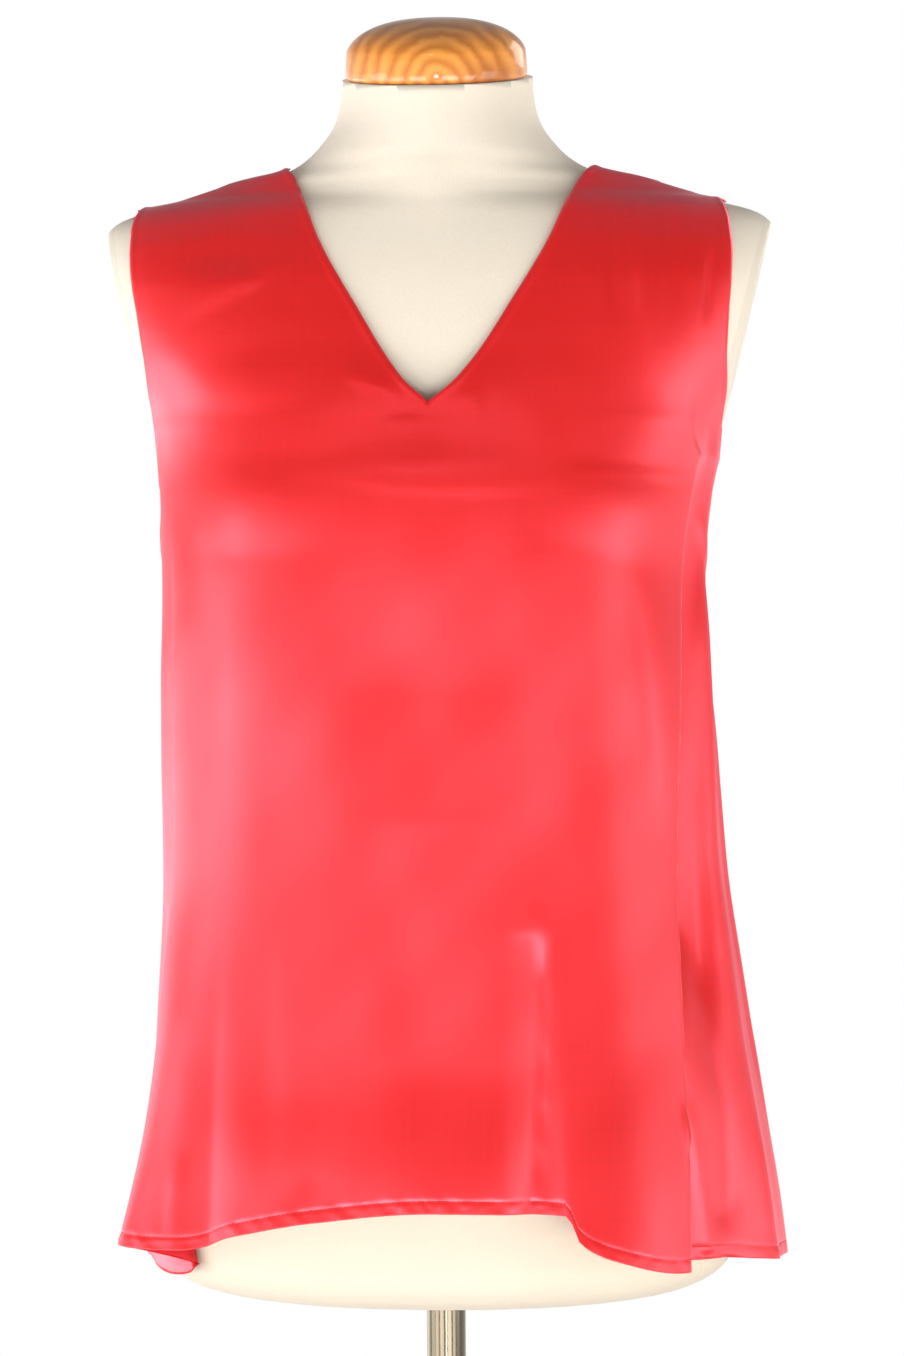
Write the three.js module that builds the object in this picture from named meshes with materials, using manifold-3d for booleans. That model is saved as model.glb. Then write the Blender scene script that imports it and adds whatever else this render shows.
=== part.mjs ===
// Sleeveless V-neck blouse on a limbless dress form. Millimetres, +Z up, the front faces -Y,
// +X is the left hand side of the figure. The origin is on the floor under the pole.
import * as THREE from 'three';
import Module from 'manifold-3d';
import { mergeVertices } from 'three/addons/utils/BufferGeometryUtils.js';

// Turns rows of values into records with named columns.
function table(columns, rows) {
  return rows.map((row) => Object.fromEntries(columns.map((name, k) => [name, row[k]])));
}

// ---------------------------------------------------------------- driving sizes
const CLOTH = 1.2; // thickness of the modelled cloth wall
const SEAM_GAP = 0.3; // gap between pieces that are sewn or fitted together
const HEM_TALL = 8; // height of the turned-up hem
const HEM_WALL = 1.0; // thickness of the turned-up layer
const REST_GAP = 0.7; // space kept between the cloth's inner face and the form
const HANG_GAP = 1.6; // the same below the underarm, where the cloth only brushes the hips
const SHOULDER_EASE = 1.3; // more space over the shoulder ridge, for the seam inside
const BACK_EASE = 1.4; // a little more behind, where the back hangs from the shoulder blades
const REST_EASE = 2.4; // cloth's outer face above the form where it lies on it
const UNDERARM_Z = 1205;
const SEAM_Y = 4; // side seams lie a little behind the pole axis

const POLE_DIAMETER = 25;
const POLE_BOTTOM_Z = 12;
const POLE_TOP_Z = 760;
const BASE_RADIUS = 170;
const SOCKET_RADIUS = 24;
const SOCKET_TOP_Z = 62;

const NECK_TILT = THREE.MathUtils.degToRad(12); // neck top leans forward
const NECK_TOP = { y: -9, z: 1463 };
const CAP_RADIUS = 57;
const CAP_HEIGHT = 38;
const ARM_SLANT = THREE.MathUtils.degToRad(14); // end plates face out and a little down
const ARM_END = { x: 206, z: 1360 };
const ARM_PLATE_THICK = 4;

// Horizontal sections of the form: half width, depth in front of and behind the pole, squareness.
const FORM_SECTIONS = [
  { z: 694, half: 36, front: 21, back: 24, power: 2.2 },
  { z: 696, half: 82, front: 47, back: 54, power: 2.2 },
  { z: 700, half: 122, front: 70, back: 80, power: 2.25 },
  { z: 706, half: 151, front: 87, back: 98, power: 2.3 },
  { z: 715, half: 170, front: 98, back: 111, power: 2.3 },
  { z: 727, half: 180, front: 104, back: 118, power: 2.3 },
  { z: 760, half: 182, front: 106, back: 121, power: 2.3 },
  { z: 810, half: 180, front: 107, back: 122, power: 2.3 },
  { z: 880, half: 168, front: 101, back: 113, power: 2.3 },
  { z: 950, half: 143, front: 89, back: 94, power: 2.3 },
  { z: 1010, half: 123, front: 80, back: 81, power: 2.3 },
  { z: 1060, half: 126, front: 84, back: 84, power: 2.3 },
  { z: 1130, half: 142, front: 95, back: 95, power: 2.35 },
  { z: 1205, half: 160, front: 104, back: 104, power: 2.4 },
  { z: 1250, half: 181, front: 106, back: 106, power: 2.5 },
  { z: 1290, half: 200, front: 102, back: 104, power: 2.5 },
  { z: 1325, half: 211, front: 94, back: 99, power: 2.5 },
  { z: 1350, half: 214, front: 86, back: 93, power: 2.3 },
  { z: 1366, half: 212, front: 80, back: 88, power: 2.0 },
  { z: 1375, half: 205, front: 77, back: 85, power: 1.75 },
  { z: 1381, half: 191, front: 75, back: 83, power: 1.55 },
  { z: 1386, half: 167, front: 74, back: 81, power: 1.45 },
  { z: 1392, half: 147, front: 73, back: 79, power: 1.45 },
  { z: 1398, half: 126, front: 72, back: 76, power: 1.55 },
  { z: 1404, half: 100, front: 71, back: 73, power: 1.75 },
  { z: 1409, half: 89, front: 70, back: 69, power: 1.9 },
  { z: 1415, half: 80.5, front: 69.5, back: 65, power: 2.0 },
  { z: 1422, half: 74, front: 69, back: 60, power: 2.0 },
  { z: 1431, half: 67, front: 68.5, back: 55, power: 2.0 },
  { z: 1442, half: 62.5, front: 68, back: 51.5, power: 2.0 },
  { z: 1456, half: 60.2, front: 68, back: 50, power: 2.0 },
  { z: 1482, half: 59.4, front: 68, back: 50, power: 2.0 },
];
const BUST = { x: 88, z: 1198, out: 20, wide: 50, above: 66, below: 50 };
// The cloth over the bust: rounder, nearly straight between the two sides, and fading slowly below.
const CLOTH_BUST = { x: 104, z: 1198, out: 20, wide: 62, above: 70, below: 250, between: 0.38 };

// Horizontal sections of the hanging blouse, to the seam on each side and to the middle of each panel.
const BLOUSE_SECTIONS = [
  { z: 690, left: 193, right: 213, front: 142, back: 150, power: 2.55 },
  { z: 730, left: 189, right: 209, front: 140, back: 147, power: 2.5 },
  { z: 775, left: 187, right: 203, front: 138, back: 143, power: 2.5 },
  { z: 870, left: 182, right: 187, front: 134, back: 136, power: 2.45 },
  { z: 970, left: 177, right: 174, front: 127, back: 128, power: 2.45 },
  { z: 1075, left: 177, right: 169, front: 119, back: 119, power: 2.4 },
  { z: 1150, left: 176, right: 166, front: 111, back: 113, power: 2.35 },
  { z: 1205, left: 177, right: 171, front: 106, back: 110, power: 2.35 },
  { z: 1245, left: 186, right: 184, front: 106, back: 112, power: 2.45 },
];
// Above this band the cloth lies on the form.
const LIES_ON_FORM = { from: 1205, to: 1290 };

// Half width of the neckline at each height, and how far out each armhole edge is.
const FRONT_NECK = [
  { z: 1253, half: 0 },
  { z: 1268, half: 17 },
  { z: 1317, half: 48.5 },
  { z: 1354, half: 69.5 },
  { z: 1388, half: 84 },
  { z: 1407, half: 95 },
];
const BACK_NECK = [
  { z: 1372, half: 0 },
  { z: 1373, half: 22 },
  { z: 1376, half: 40 },
  { z: 1384, half: 62 },
  { z: 1396, half: 83 },
  { z: 1407, half: 95 },
];
const NECK_MIDDLE_X = 3;
const ARMHOLE = [
  { z: 1205, left: 177, right: 171 },
  { z: 1222, left: 176, right: 175 },
  { z: 1262, left: 177, right: 179 },
  { z: 1300, left: 182, right: 182 },
  { z: 1345, left: 189, right: 185 },
  { z: 1370, left: 190, right: 183 },
  { z: 1384, left: 187, right: 178 },
];
const SHOULDER_TIP_Z = { left: 1384, right: 1386 };
const SHOULDER_BOW = 2.5; // the shoulder seam bows up between neck and tip

// Hem height along each panel: across is -1 at the left seam, 0 in the middle, 1 at the right seam.
const FRONT_HEM = [
  { across: -1, z: 725 },
  { across: -0.87, z: 726 },
  { across: -0.7, z: 742 },
  { across: -0.56, z: 741 },
  { across: -0.44, z: 751 },
  { across: -0.25, z: 761 },
  { across: 0, z: 767 },
  { across: 0.262, z: 766 },
  { across: 0.285, z: 750 },
  { across: 0.35, z: 740 },
  { across: 0.53, z: 729 },
  { across: 0.76, z: 731 },
  { across: 1, z: 722 },
];
const BACK_HEM = [
  { across: -1, z: 725 },
  { across: -0.5, z: 716 },
  { across: 0, z: 713 },
  { across: 0.5, z: 715 },
  { across: 1, z: 722 },
];

// Drape folds. Each one starts at a height and grows down to the hem, where it moves the cloth by
// (dx, dy); its middle and half width along the panel are given at the underarm and at the hem.
const FOLD_COLUMNS = [
  'name', 'start', 'grow', 'topAt', 'hemAt', 'topHalf', 'hemHalf', 'dx', 'dy',
];
const FRONT_FOLDS = table(FOLD_COLUMNS, [
  ['right side valley', 1265, 0.8, 0.87, 0.75, 0.1, 0.22, -44, 3],
  ['left side nose', 1010, 1.1, -0.66, -0.67, 0.16, 0.15, -28, -11],
  ['left side valley', 1120, 1.1, -0.88, -0.865, 0.1, 0.13, 42, -31],
  ['small groove', 935, 0.8, 0.26, 0.2, 0.05, 0.075, 0, 7],
  ['right flare', 1040, 1.3, 0.45, 0.37, 0.2, 0.18, 2, -11],
  ['left hem wave', 850, 1.4, -0.4, -0.36, 0.12, 0.15, 0, -8],
  ['belly hollow', 1000, 1.0, 0.0, -0.02, 0.22, 0.2, 0, 5],
]);
const BACK_FOLDS = table(FOLD_COLUMNS, [
  ['right seam roll', 1110, 0.7, 0.86, 0.84, 0.12, 0.16, 10, 2],
  ['right flare', 1020, 1.2, 0.48, 0.5, 0.2, 0.2, 8, 15],
  ['middle hollow', 960, 1.3, 0.1, 0.14, 0.2, 0.2, 0, -13],
  ['left flare', 1000, 1.3, -0.3, -0.3, 0.2, 0.22, -4, 14],
  ['left hollow', 900, 1.2, -0.62, -0.64, 0.14, 0.15, 8, -10],
]);

const FRONT_COLUMNS = 20; // columns in each half of a panel
const BACK_COLUMNS = 13;
const ROWS_BELOW = 17; // rows from hem to underarm
const ROWS_ABOVE = 15; // rows from underarm to shoulder
const CROWD_SIDES = 0.35; // how much closer the columns stand at the side seams
const CROWD_SHOULDER = 1.8; // how much closer the rows stand at the shoulder seam
const RING = 44; // points round the form

// ---------------------------------------------------------------- small helpers
const clamp = (v, lo, hi) => Math.min(hi, Math.max(lo, v));
const mix = (a, b, t) => a + (b - a) * t;
const smooth = (lo, hi, v) => {
  const t = clamp((v - lo) / (hi - lo), 0, 1);
  return t * t * (3 - 2 * t);
};

// Reads a column of a table at a value of its first column, along a curve that never overshoots.
function follow(rows, axis, column, at) {
  const last = rows.length - 1;
  if (at <= rows[0][axis]) return rows[0][column];
  if (at >= rows[last][axis]) return rows[last][column];
  let i = 0;
  while (at > rows[i + 1][axis]) i += 1;
  const rise = (j) => (rows[j + 1][column] - rows[j][column]) / (rows[j + 1][axis] - rows[j][axis]);
  const slope = (j) => {
    if (j === 0) return rise(0);
    if (j === last) return rise(last - 1);
    const before = rise(j - 1);
    const after = rise(j);
    return before * after > 0 ? (2 * before * after) / (before + after) : 0;
  };
  const span = rows[i + 1][axis] - rows[i][axis];
  const t = (at - rows[i][axis]) / span;
  const t2 = t * t;
  const t3 = t2 * t;
  return rows[i][column] * (2 * t3 - 3 * t2 + 1) + slope(i) * span * (t3 - 2 * t2 + t)
    + rows[i + 1][column] * (3 * t2 - 2 * t3) + slope(i + 1) * span * (t3 - t2);
}

// ---------------------------------------------------------------- dress form
const formAt = (z, column) => follow(FORM_SECTIONS, 'z', column, z);

function bustOut(x, z) {
  const side = (Math.abs(x) - BUST.x) / BUST.wide;
  const up = (z - BUST.z) / (z > BUST.z ? BUST.above : BUST.below);
  return BUST.out * Math.exp(-side * side - up * up);
}

function formPoint(angle, z) {
  const power = formAt(z, 'power');
  const s = Math.sin(angle);
  const c = Math.cos(angle);
  const x = formAt(z, 'half') * Math.sign(s) * Math.abs(s) ** (2 / power);
  const deep = Math.abs(c) ** (2 / power);
  const y = c > 0 ? -(formAt(z, 'front') + bustOut(x, z)) * deep : formAt(z, 'back') * deep;
  return new THREE.Vector3(x, y, z);
}

function formHeights() {
  const heights = [];
  FORM_SECTIONS.forEach((row, i) => {
    heights.push(row.z);
    const next = FORM_SECTIONS[i + 1];
    if (next && next.z - row.z > 40) heights.push((row.z + next.z) / 2);
  });
  return heights;
}

function formLoft() {
  const points = [];
  const faces = [];
  const heights = formHeights();
  heights.forEach((z) => {
    for (let k = 0; k < RING; k += 1) points.push(formPoint((2 * Math.PI * k) / RING, z));
  });
  const rings = heights.length;
  for (let j = 0; j + 1 < rings; j += 1) {
    for (let k = 0; k < RING; k += 1) {
      const a = j * RING + k;
      const b = j * RING + ((k + 1) % RING);
      faces.push([a, b, b + RING], [a, b + RING, a + RING]);
    }
  }
  const low = points.push(new THREE.Vector3(0, 0, heights[0])) - 1;
  const high = points.push(new THREE.Vector3(0, -9, heights[rings - 1])) - 1;
  for (let k = 0; k < RING; k += 1) {
    const next = (k + 1) % RING;
    faces.push([low, next, k]);
    faces.push([high, (rings - 1) * RING + k, (rings - 1) * RING + next]);
  }
  return meshGeometry(points, faces);
}

function meshGeometry(points, faces) {
  const geometry = new THREE.BufferGeometry();
  const flat = new Float32Array(points.length * 3);
  points.forEach((p, i) => p.toArray(flat, i * 3));
  geometry.setAttribute('position', new THREE.BufferAttribute(flat, 3));
  geometry.setIndex(faces.flat());
  return geometry;
}

// ---------------------------------------------------------------- cloth panels
// A blouse section: hanging sections below, the form with a little ease above the bust.
function blouseAt(z, column, side) {
  const hanging = follow(BLOUSE_SECTIONS, 'z', column === 'half' ? side : column, z);
  const ease = { half: REST_EASE, front: REST_EASE, back: REST_EASE + BACK_EASE, power: 0 };
  const lying = formAt(z - REST_EASE, column) + ease[column];
  return mix(hanging, lying, smooth(LIES_ON_FORM.from, LIES_ON_FORM.to, z));
}

function clothBust(x, z) {
  const off = Math.abs(x) - CLOTH_BUST.x;
  const up = (z - CLOTH_BUST.z) / (z > CLOTH_BUST.z ? CLOTH_BUST.above : CLOTH_BUST.below);
  const inside = mix(CLOTH_BUST.between, 1, smooth(0.2 * CLOTH_BUST.x, CLOTH_BUST.x, Math.abs(x)));
  const acrossShare = off < 0 ? inside : Math.exp(-((off / CLOTH_BUST.wide) ** 2));
  const hanging = CLOTH_BUST.out * acrossShare * Math.exp(-up * up);
  return mix(hanging, bustOut(x, z - REST_EASE), smooth(LIES_ON_FORM.from, LIES_ON_FORM.to, z));
}

function foldShift(folds, across, z, hemZ) {
  let dx = 0;
  let dy = 0;
  folds.forEach((fold) => {
    if (z >= fold.start) return;
    const down = clamp((fold.start - z) / (fold.start - hemZ), 0, 1);
    const along = clamp((UNDERARM_Z - z) / (UNDERARM_Z - hemZ), 0, 1);
    const t = (across - mix(fold.topAt, fold.hemAt, along)) / mix(fold.topHalf, fold.hemHalf, along);
    if (Math.abs(t) >= 1) return;
    const share = (1 - t * t) ** 1.5 * down ** fold.grow;
    dx += fold.dx * share;
    dy += fold.dy * share;
  });
  return [dx, dy];
}

// A point of a panel's outer face. across runs -1..1 from seam to seam; level runs -1..0 from the
// hem to the underarm and 0..1 from the underarm to the shoulder seam.
function panelPoint(panel, across, level, side) {
  const share = Math.abs(across);
  const sign = side === 'left' ? -1 : 1;
  const hemZ = follow(panel.hem, 'across', 'z', across);
  const neckZ = panel.neck[panel.neck.length - 1].z;
  let z;
  let turn = (share * Math.PI) / 2;
  let middle = 0;
  if (level <= 0) {
    z = UNDERARM_Z + level * (UNDERARM_Z - hemZ);
  } else {
    const innerZ = mix(UNDERARM_Z, neckZ, level);
    const outerZ = mix(UNDERARM_Z, SHOULDER_TIP_Z[side], level);
    z = mix(innerZ, outerZ, share) + SHOULDER_BOW * 4 * share * (1 - share) * level;
    const innerX = innerZ > panel.neck[0].z ? follow(panel.neck, 'z', 'half', innerZ) : 0;
    const outerX = follow(ARMHOLE, 'z', side, outerZ);
    const last = level > 0.999;
    const inner = last ? 1 : clamp(innerX / blouseAt(innerZ, 'half', side), 0, 1);
    const outer = last ? 1 : clamp(outerX / blouseAt(outerZ, 'half', side), 0, 1);
    turn = mix(Math.asin(inner), Math.asin(outer), share);
    middle = NECK_MIDDLE_X * smooth(0, 0.5, level) * (1 - share);
  }
  const wide = Math.sin(turn);
  const power = blouseAt(z, 'power', side);
  const deep = (1 - wide ** power) ** (1 / power);
  const x = sign * blouseAt(z, 'half', side) * wide + middle;
  const seamY = SEAM_Y * (1 - smooth(0, 1, level));
  const bust = panel.facing < 0 ? clothBust(x, z) : 0;
  const onSeam = level > 0.999 || (share > 0.97 && level <= 0);
  const hemLayer = (HEM_WALL + 3 * SEAM_GAP) * (1 - smooth(HEM_TALL, 4 * HEM_TALL, z - hemZ));
  const depth = blouseAt(z, panel.facing < 0 ? 'front' : 'back', side) + bust;
  const [dx, dy] = foldShift(panel.folds, across, z, hemZ);
  const y = seamY + panel.facing * (SEAM_GAP / 2 + (depth - panel.facing * seamY) * deep);
  const ridge = SHOULDER_EASE * smooth(0.6, 0.85, level);
  const space = CLOTH + (level <= 0 ? HANG_GAP : REST_GAP) + hemLayer + ridge;
  return clearOfForm(new THREE.Vector3(x + dx, y + dy, z), space, onSeam);
}

// Distance outside the form, about right close to it.
function outsideForm(p) {
  const power = formAt(p.z, 'power');
  const deep = p.y < 0 ? formAt(p.z, 'front') + bustOut(p.x, p.z) : formAt(p.z, 'back');
  const size = Math.abs(p.x / formAt(p.z, 'half')) ** power + Math.abs(p.y / deep) ** power;
  return size ** (1 / power) - 1;
}

// Moves a point out of the form where the designed cloth would cut into it. A point on a seam stays
// in the seam's plane.
function clearOfForm(p, space, onSeam) {
  const step = 0.5;
  const slope = (x, y, z) => {
    const by = new THREE.Vector3(x, y, z);
    return (outsideForm(p.clone().add(by)) - outsideForm(p.clone().sub(by))) / (2 * step);
  };
  for (let pass = 0; pass < 12; pass += 1) {
    const rise = new THREE.Vector3(slope(step, 0, 0), onSeam ? 0 : slope(0, step, 0), slope(0, 0, step));
    const size = rise.length();
    const short = space - outsideForm(p) / size;
    if (size < 1e-6 || short <= 0.02) return p;
    p.addScaledVector(rise, Math.min(short, 4) / size);
  }
  return p;
}

const FRONT = {
  facing: -1,
  neck: FRONT_NECK,
  roundNeck: false,
  hem: FRONT_HEM,
  folds: FRONT_FOLDS,
  columns: FRONT_COLUMNS,
};
const BACK = {
  facing: 1,
  neck: BACK_NECK,
  roundNeck: true,
  hem: BACK_HEM,
  folds: BACK_FOLDS,
  columns: BACK_COLUMNS,
};

// Levels of the rows at one place along a panel: the hem, the top of its turned-up layer, even rows
// to the underarm, and above it rows that reach exactly the neck's lowest point and the shoulder.
function panelLevels(panel, across) {
  const hemZ = follow(panel.hem, 'across', 'z', across);
  const hemTop = -1 + (HEM_TALL + SEAM_GAP) / (UNDERARM_Z - hemZ);
  const levels = [-1];
  for (let j = 0; j < ROWS_BELOW; j += 1) levels.push(mix(hemTop, 0, j / ROWS_BELOW));
  const neckLow = (panel.neck[0].z - UNDERARM_Z) / (panel.neck[panel.neck.length - 1].z - UNDERARM_Z);
  const under = clamp(Math.round(ROWS_ABOVE * neckLow), 2, ROWS_ABOVE - 6);
  for (let j = 0; j < under; j += 1) levels.push((neckLow * j) / under);
  const over = ROWS_ABOVE - under;
  for (let j = 0; j <= over; j += 1) {
    const t = j / over;
    levels.push(mix(neckLow, 1, panel.roundNeck ? smooth(0, 1, t) : 1 - (1 - t) ** CROWD_SHOULDER));
  }
  return { levels, neckRow: levels.length - 1 - over };
}

// Both halves of a panel as one surface; they share the middle column up to the neck's lowest point.
function panelSurface(panel) {
  const points = [];
  const quads = [];
  const index = new Map();
  const { levels: middleLevels, neckRow } = panelLevels(panel, 0);
  const place = (side, i, j) => {
    const shared = i === 0 && j <= neckRow;
    const key = shared ? `middle ${j}` : `${side} ${i} ${j}`;
    if (!index.has(key)) {
      const even = i / panel.columns;
      const crowded = mix(even, 1 - (1 - even) ** 2, CROWD_SIDES);
      const across = side === 'left' ? -crowded : crowded;
      const level = panelLevels(panel, across).levels[j];
      const p = panelPoint(panel, across, level, side);
      p.onSeam = level > 0.999 || (i === panel.columns && level <= 0);
      index.set(key, points.push(p) - 1);
    }
    return index.get(key);
  };
  const hemQuads = [];
  ['left', 'right'].forEach((side) => {
    for (let j = 0; j + 1 < middleLevels.length; j += 1) {
      for (let i = 0; i < panel.columns; i += 1) {
        const lower = [place(side, i, j), place(side, i + 1, j)];
        const quad = [...lower, place(side, i + 1, j + 1), place(side, i, j + 1)];
        const outward = (side === 'right') === (panel.facing < 0);
        const turned = outward ? quad : quad.reverse();
        quads.push(turned);
        if (j === 0) hemQuads.push(turned);
      }
    }
  });
  return { points, quads, hemQuads };
}

function surfaceNormals({ points, quads }) {
  const normals = points.map(() => new THREE.Vector3());
  const e1 = new THREE.Vector3();
  const e2 = new THREE.Vector3();
  quads.forEach(([a, b, c, d]) => {
    e1.subVectors(points[c], points[a]);
    e2.subVectors(points[d], points[b]);
    const n = e1.clone().cross(e2);
    [a, b, c, d].forEach((i) => normals[i].add(n));
  });
  normals.forEach((n, i) => {
    if (points[i].onSeam) n.y = 0;
    n.normalize();
  });
  return normals;
}

// A closed wall between two depths under a surface's quads, with its rim walls.
function wall(surface, quads, outer, inner) {
  const normals = surfaceNormals(surface);
  const used = [...new Set(quads.flat())];
  const place = new Map(used.map((id, k) => [id, k]));
  const sunk = (id, depth) => surface.points[id].clone().addScaledVector(normals[id], -depth);
  const layer = (depth) => used.map((id) => sunk(id, depth));
  const points = [...layer(outer), ...layer(inner)];
  const count = used.length;
  const faces = [];
  const edges = new Map();
  quads.forEach((quad) => {
    const [a, b, c, d] = quad.map((id) => place.get(id));
    faces.push([a, b, c], [a, c, d]);
    faces.push([a + count, c + count, b + count], [a + count, d + count, c + count]);
    [[a, b], [b, c], [c, d], [d, a]].forEach(([m, n]) => {
      if (edges.has(`${n} ${m}`)) edges.delete(`${n} ${m}`);
      else edges.set(`${m} ${n}`, [m, n]);
    });
  });
  edges.forEach(([m, n]) => faces.push([n, m, m + count], [n, m + count, n + count]));
  return meshGeometry(points, faces);
}

// ---------------------------------------------------------------- turned pieces and stand
function lathe(profile, around) {
  const outline = profile.map(([r, z]) => new THREE.Vector2(r, z));
  return new THREE.LatheGeometry(outline, around).rotateX(Math.PI / 2);
}

function capProfile() {
  const profile = [[0, 0], [CAP_RADIUS - 1.5, 0], [CAP_RADIUS - 0.2, 2]];
  const edge = 13;
  for (let k = 0; k <= 8; k += 1) {
    const a = (k / 8) * (Math.PI / 2);
    const r = (CAP_RADIUS) * Math.cos(a) ** 0.75;
    profile.push([k === 8 ? 0 : r, edge + (CAP_HEIGHT - edge) * Math.sin(a)]);
  }
  return profile;
}

function baseProfile() {
  const bore = POLE_DIAMETER / 2 + SEAM_GAP;
  return [
    [0, 0],
    [BASE_RADIUS - 3, 0],
    [BASE_RADIUS, 2],
    [BASE_RADIUS, 8],
    [BASE_RADIUS - 3, 11],
    [BASE_RADIUS - 30, 13.5],
    [SOCKET_RADIUS + 6, 17],
    [SOCKET_RADIUS, 22],
    [SOCKET_RADIUS, SOCKET_TOP_Z - 2],
    [SOCKET_RADIUS - 2, SOCKET_TOP_Z],
    [bore, SOCKET_TOP_Z],
    [bore, POLE_BOTTOM_Z - SEAM_GAP],
    [0, POLE_BOTTOM_Z - SEAM_GAP],
  ];
}

// ---------------------------------------------------------------- solid cuts
const wasm = await Module();
wasm.setup();

function toSolid(geometry) {
  const plain = new THREE.BufferGeometry();
  plain.setAttribute('position', geometry.getAttribute('position'));
  if (geometry.getIndex()) plain.setIndex(geometry.getIndex());
  const merged = mergeVertices(plain, 1e-4);
  return new wasm.Manifold(new wasm.Mesh({
    numProp: 3,
    vertProperties: new Float32Array(merged.getAttribute('position').array),
    triVerts: new Uint32Array(merged.getIndex().array),
  }));
}

function fromSolid(solid) {
  const mesh = solid.getMesh();
  const geometry = new THREE.BufferGeometry();
  geometry.setAttribute('position', new THREE.BufferAttribute(new Float32Array(mesh.vertProperties), 3));
  geometry.setIndex(new THREE.BufferAttribute(new Uint32Array(mesh.triVerts), 1));
  return mergeVertices(geometry, 1e-3);
}

// A block that lies beyond one arm's slanted end plane, `from` to `to` along its outward direction.
function armSlab(sign, from, to) {
  const block = new THREE.BoxGeometry(to - from, 400, 400);
  block.translate((from + to) / 2, 0, 0);
  block.rotateY(ARM_SLANT);
  block.translate(ARM_END.x, 0, ARM_END.z);
  if (sign < 0) block.rotateZ(Math.PI);
  return toSolid(block);
}

function buildForm() {
  const loft = toSolid(formLoft());
  const above = new THREE.BoxGeometry(300, 300, 200).translate(0, 0, 100).rotateX(NECK_TILT);
  above.translate(0, NECK_TOP.y, NECK_TOP.z);
  const bore = new THREE.CylinderGeometry(
    POLE_DIAMETER / 2 + SEAM_GAP, POLE_DIAMETER / 2 + SEAM_GAP, POLE_TOP_Z + SEAM_GAP - 600, 40,
  );
  bore.rotateX(Math.PI / 2).translate(0, 0, (POLE_TOP_Z + SEAM_GAP + 600) / 2);
  let body = loft.subtract(toSolid(above)).subtract(toSolid(bore));
  const plates = {};
  [['arm_plate_left', 1], ['arm_plate_right', -1]].forEach(([name, sign]) => {
    const plateFrom = -ARM_PLATE_THICK;
    plates[name] = fromSolid(loft.intersect(armSlab(sign, plateFrom, 0)));
    body = body.subtract(armSlab(sign, plateFrom - SEAM_GAP, 60));
  });
  return { body: fromSolid(body), plates };
}

function buildCap() {
  const cap = lathe(capProfile(), 48);
  cap.translate(0, 0, SEAM_GAP).rotateX(NECK_TILT).translate(0, NECK_TOP.y, NECK_TOP.z);
  return cap;
}

function buildPole() {
  const tall = POLE_TOP_Z - POLE_BOTTOM_Z;
  const r = POLE_DIAMETER / 2;
  const pole = lathe([[0, 0], [r - 1, 0], [r, 1], [r, tall - 1], [r - 1, tall], [0, tall]], 40);
  return pole.translate(0, 0, POLE_BOTTOM_Z);
}

function buildPanel(panel) {
  const surface = panelSurface(panel);
  const start = CLOTH + 1.5 * SEAM_GAP;
  return {
    cloth: wall(surface, surface.quads, 0, CLOTH),
    hem: wall(surface, surface.hemQuads, start, start + HEM_WALL),
  };
}

// ---------------------------------------------------------------- the object
const MATERIALS = {
  satin: { color: 0xee3a42, roughness: 0.38, metalness: 0 },
  satin_inside: { color: 0xd8343c, roughness: 0.55, metalness: 0 },
  form_cloth: { color: 0xf6ead8, roughness: 0.85, metalness: 0 },
  plate_cloth: { color: 0xe9dcc8, roughness: 0.8, metalness: 0 },
  wood: { color: 0xb4702c, roughness: 0.22, metalness: 0 },
  steel: { color: 0xb9babb, roughness: 0.28, metalness: 1 },
  base_paint: { color: 0x9a9b9c, roughness: 0.4, metalness: 1 },
};

const root = new THREE.Group();
root.name = 'blouse_on_dress_form';

function addPiece(name, geometry, look) {
  const plain = new THREE.BufferGeometry();
  plain.setAttribute('position', geometry.getAttribute('position'));
  plain.setIndex(geometry.getIndex());
  const merged = mergeVertices(plain, 1e-3);
  merged.computeVertexNormals();
  const mesh = new THREE.Mesh(merged, new THREE.MeshStandardMaterial(MATERIALS[look]));
  mesh.name = name;
  root.add(mesh);
}

const form = buildForm();
addPiece('form_torso', form.body, 'form_cloth');
Object.entries(form.plates).forEach(([name, plate]) => addPiece(name, plate, 'plate_cloth'));
addPiece('neck_cap', buildCap(), 'wood');
addPiece('pole', buildPole(), 'steel');
addPiece('base_plate', lathe(baseProfile(), 56), 'base_paint');
const front = buildPanel(FRONT);
const back = buildPanel(BACK);
addPiece('blouse_front', front.cloth, 'satin');
addPiece('blouse_back', back.cloth, 'satin');
addPiece('front_hem', front.hem, 'satin_inside');
addPiece('back_hem', back.hem, 'satin_inside');

export default root;
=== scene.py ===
"""Sleeveless V-neck blouse of red satin, on a limbless dress form with a wood neck cap.

Sizes in the tables are millimetres, +Z up. The blouse's front faces -Y and +X is the
wearer's left. Meshes are written in metres.
"""

import math

import bmesh
import bpy
import numpy as np
from mathutils import Matrix, Vector


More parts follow.
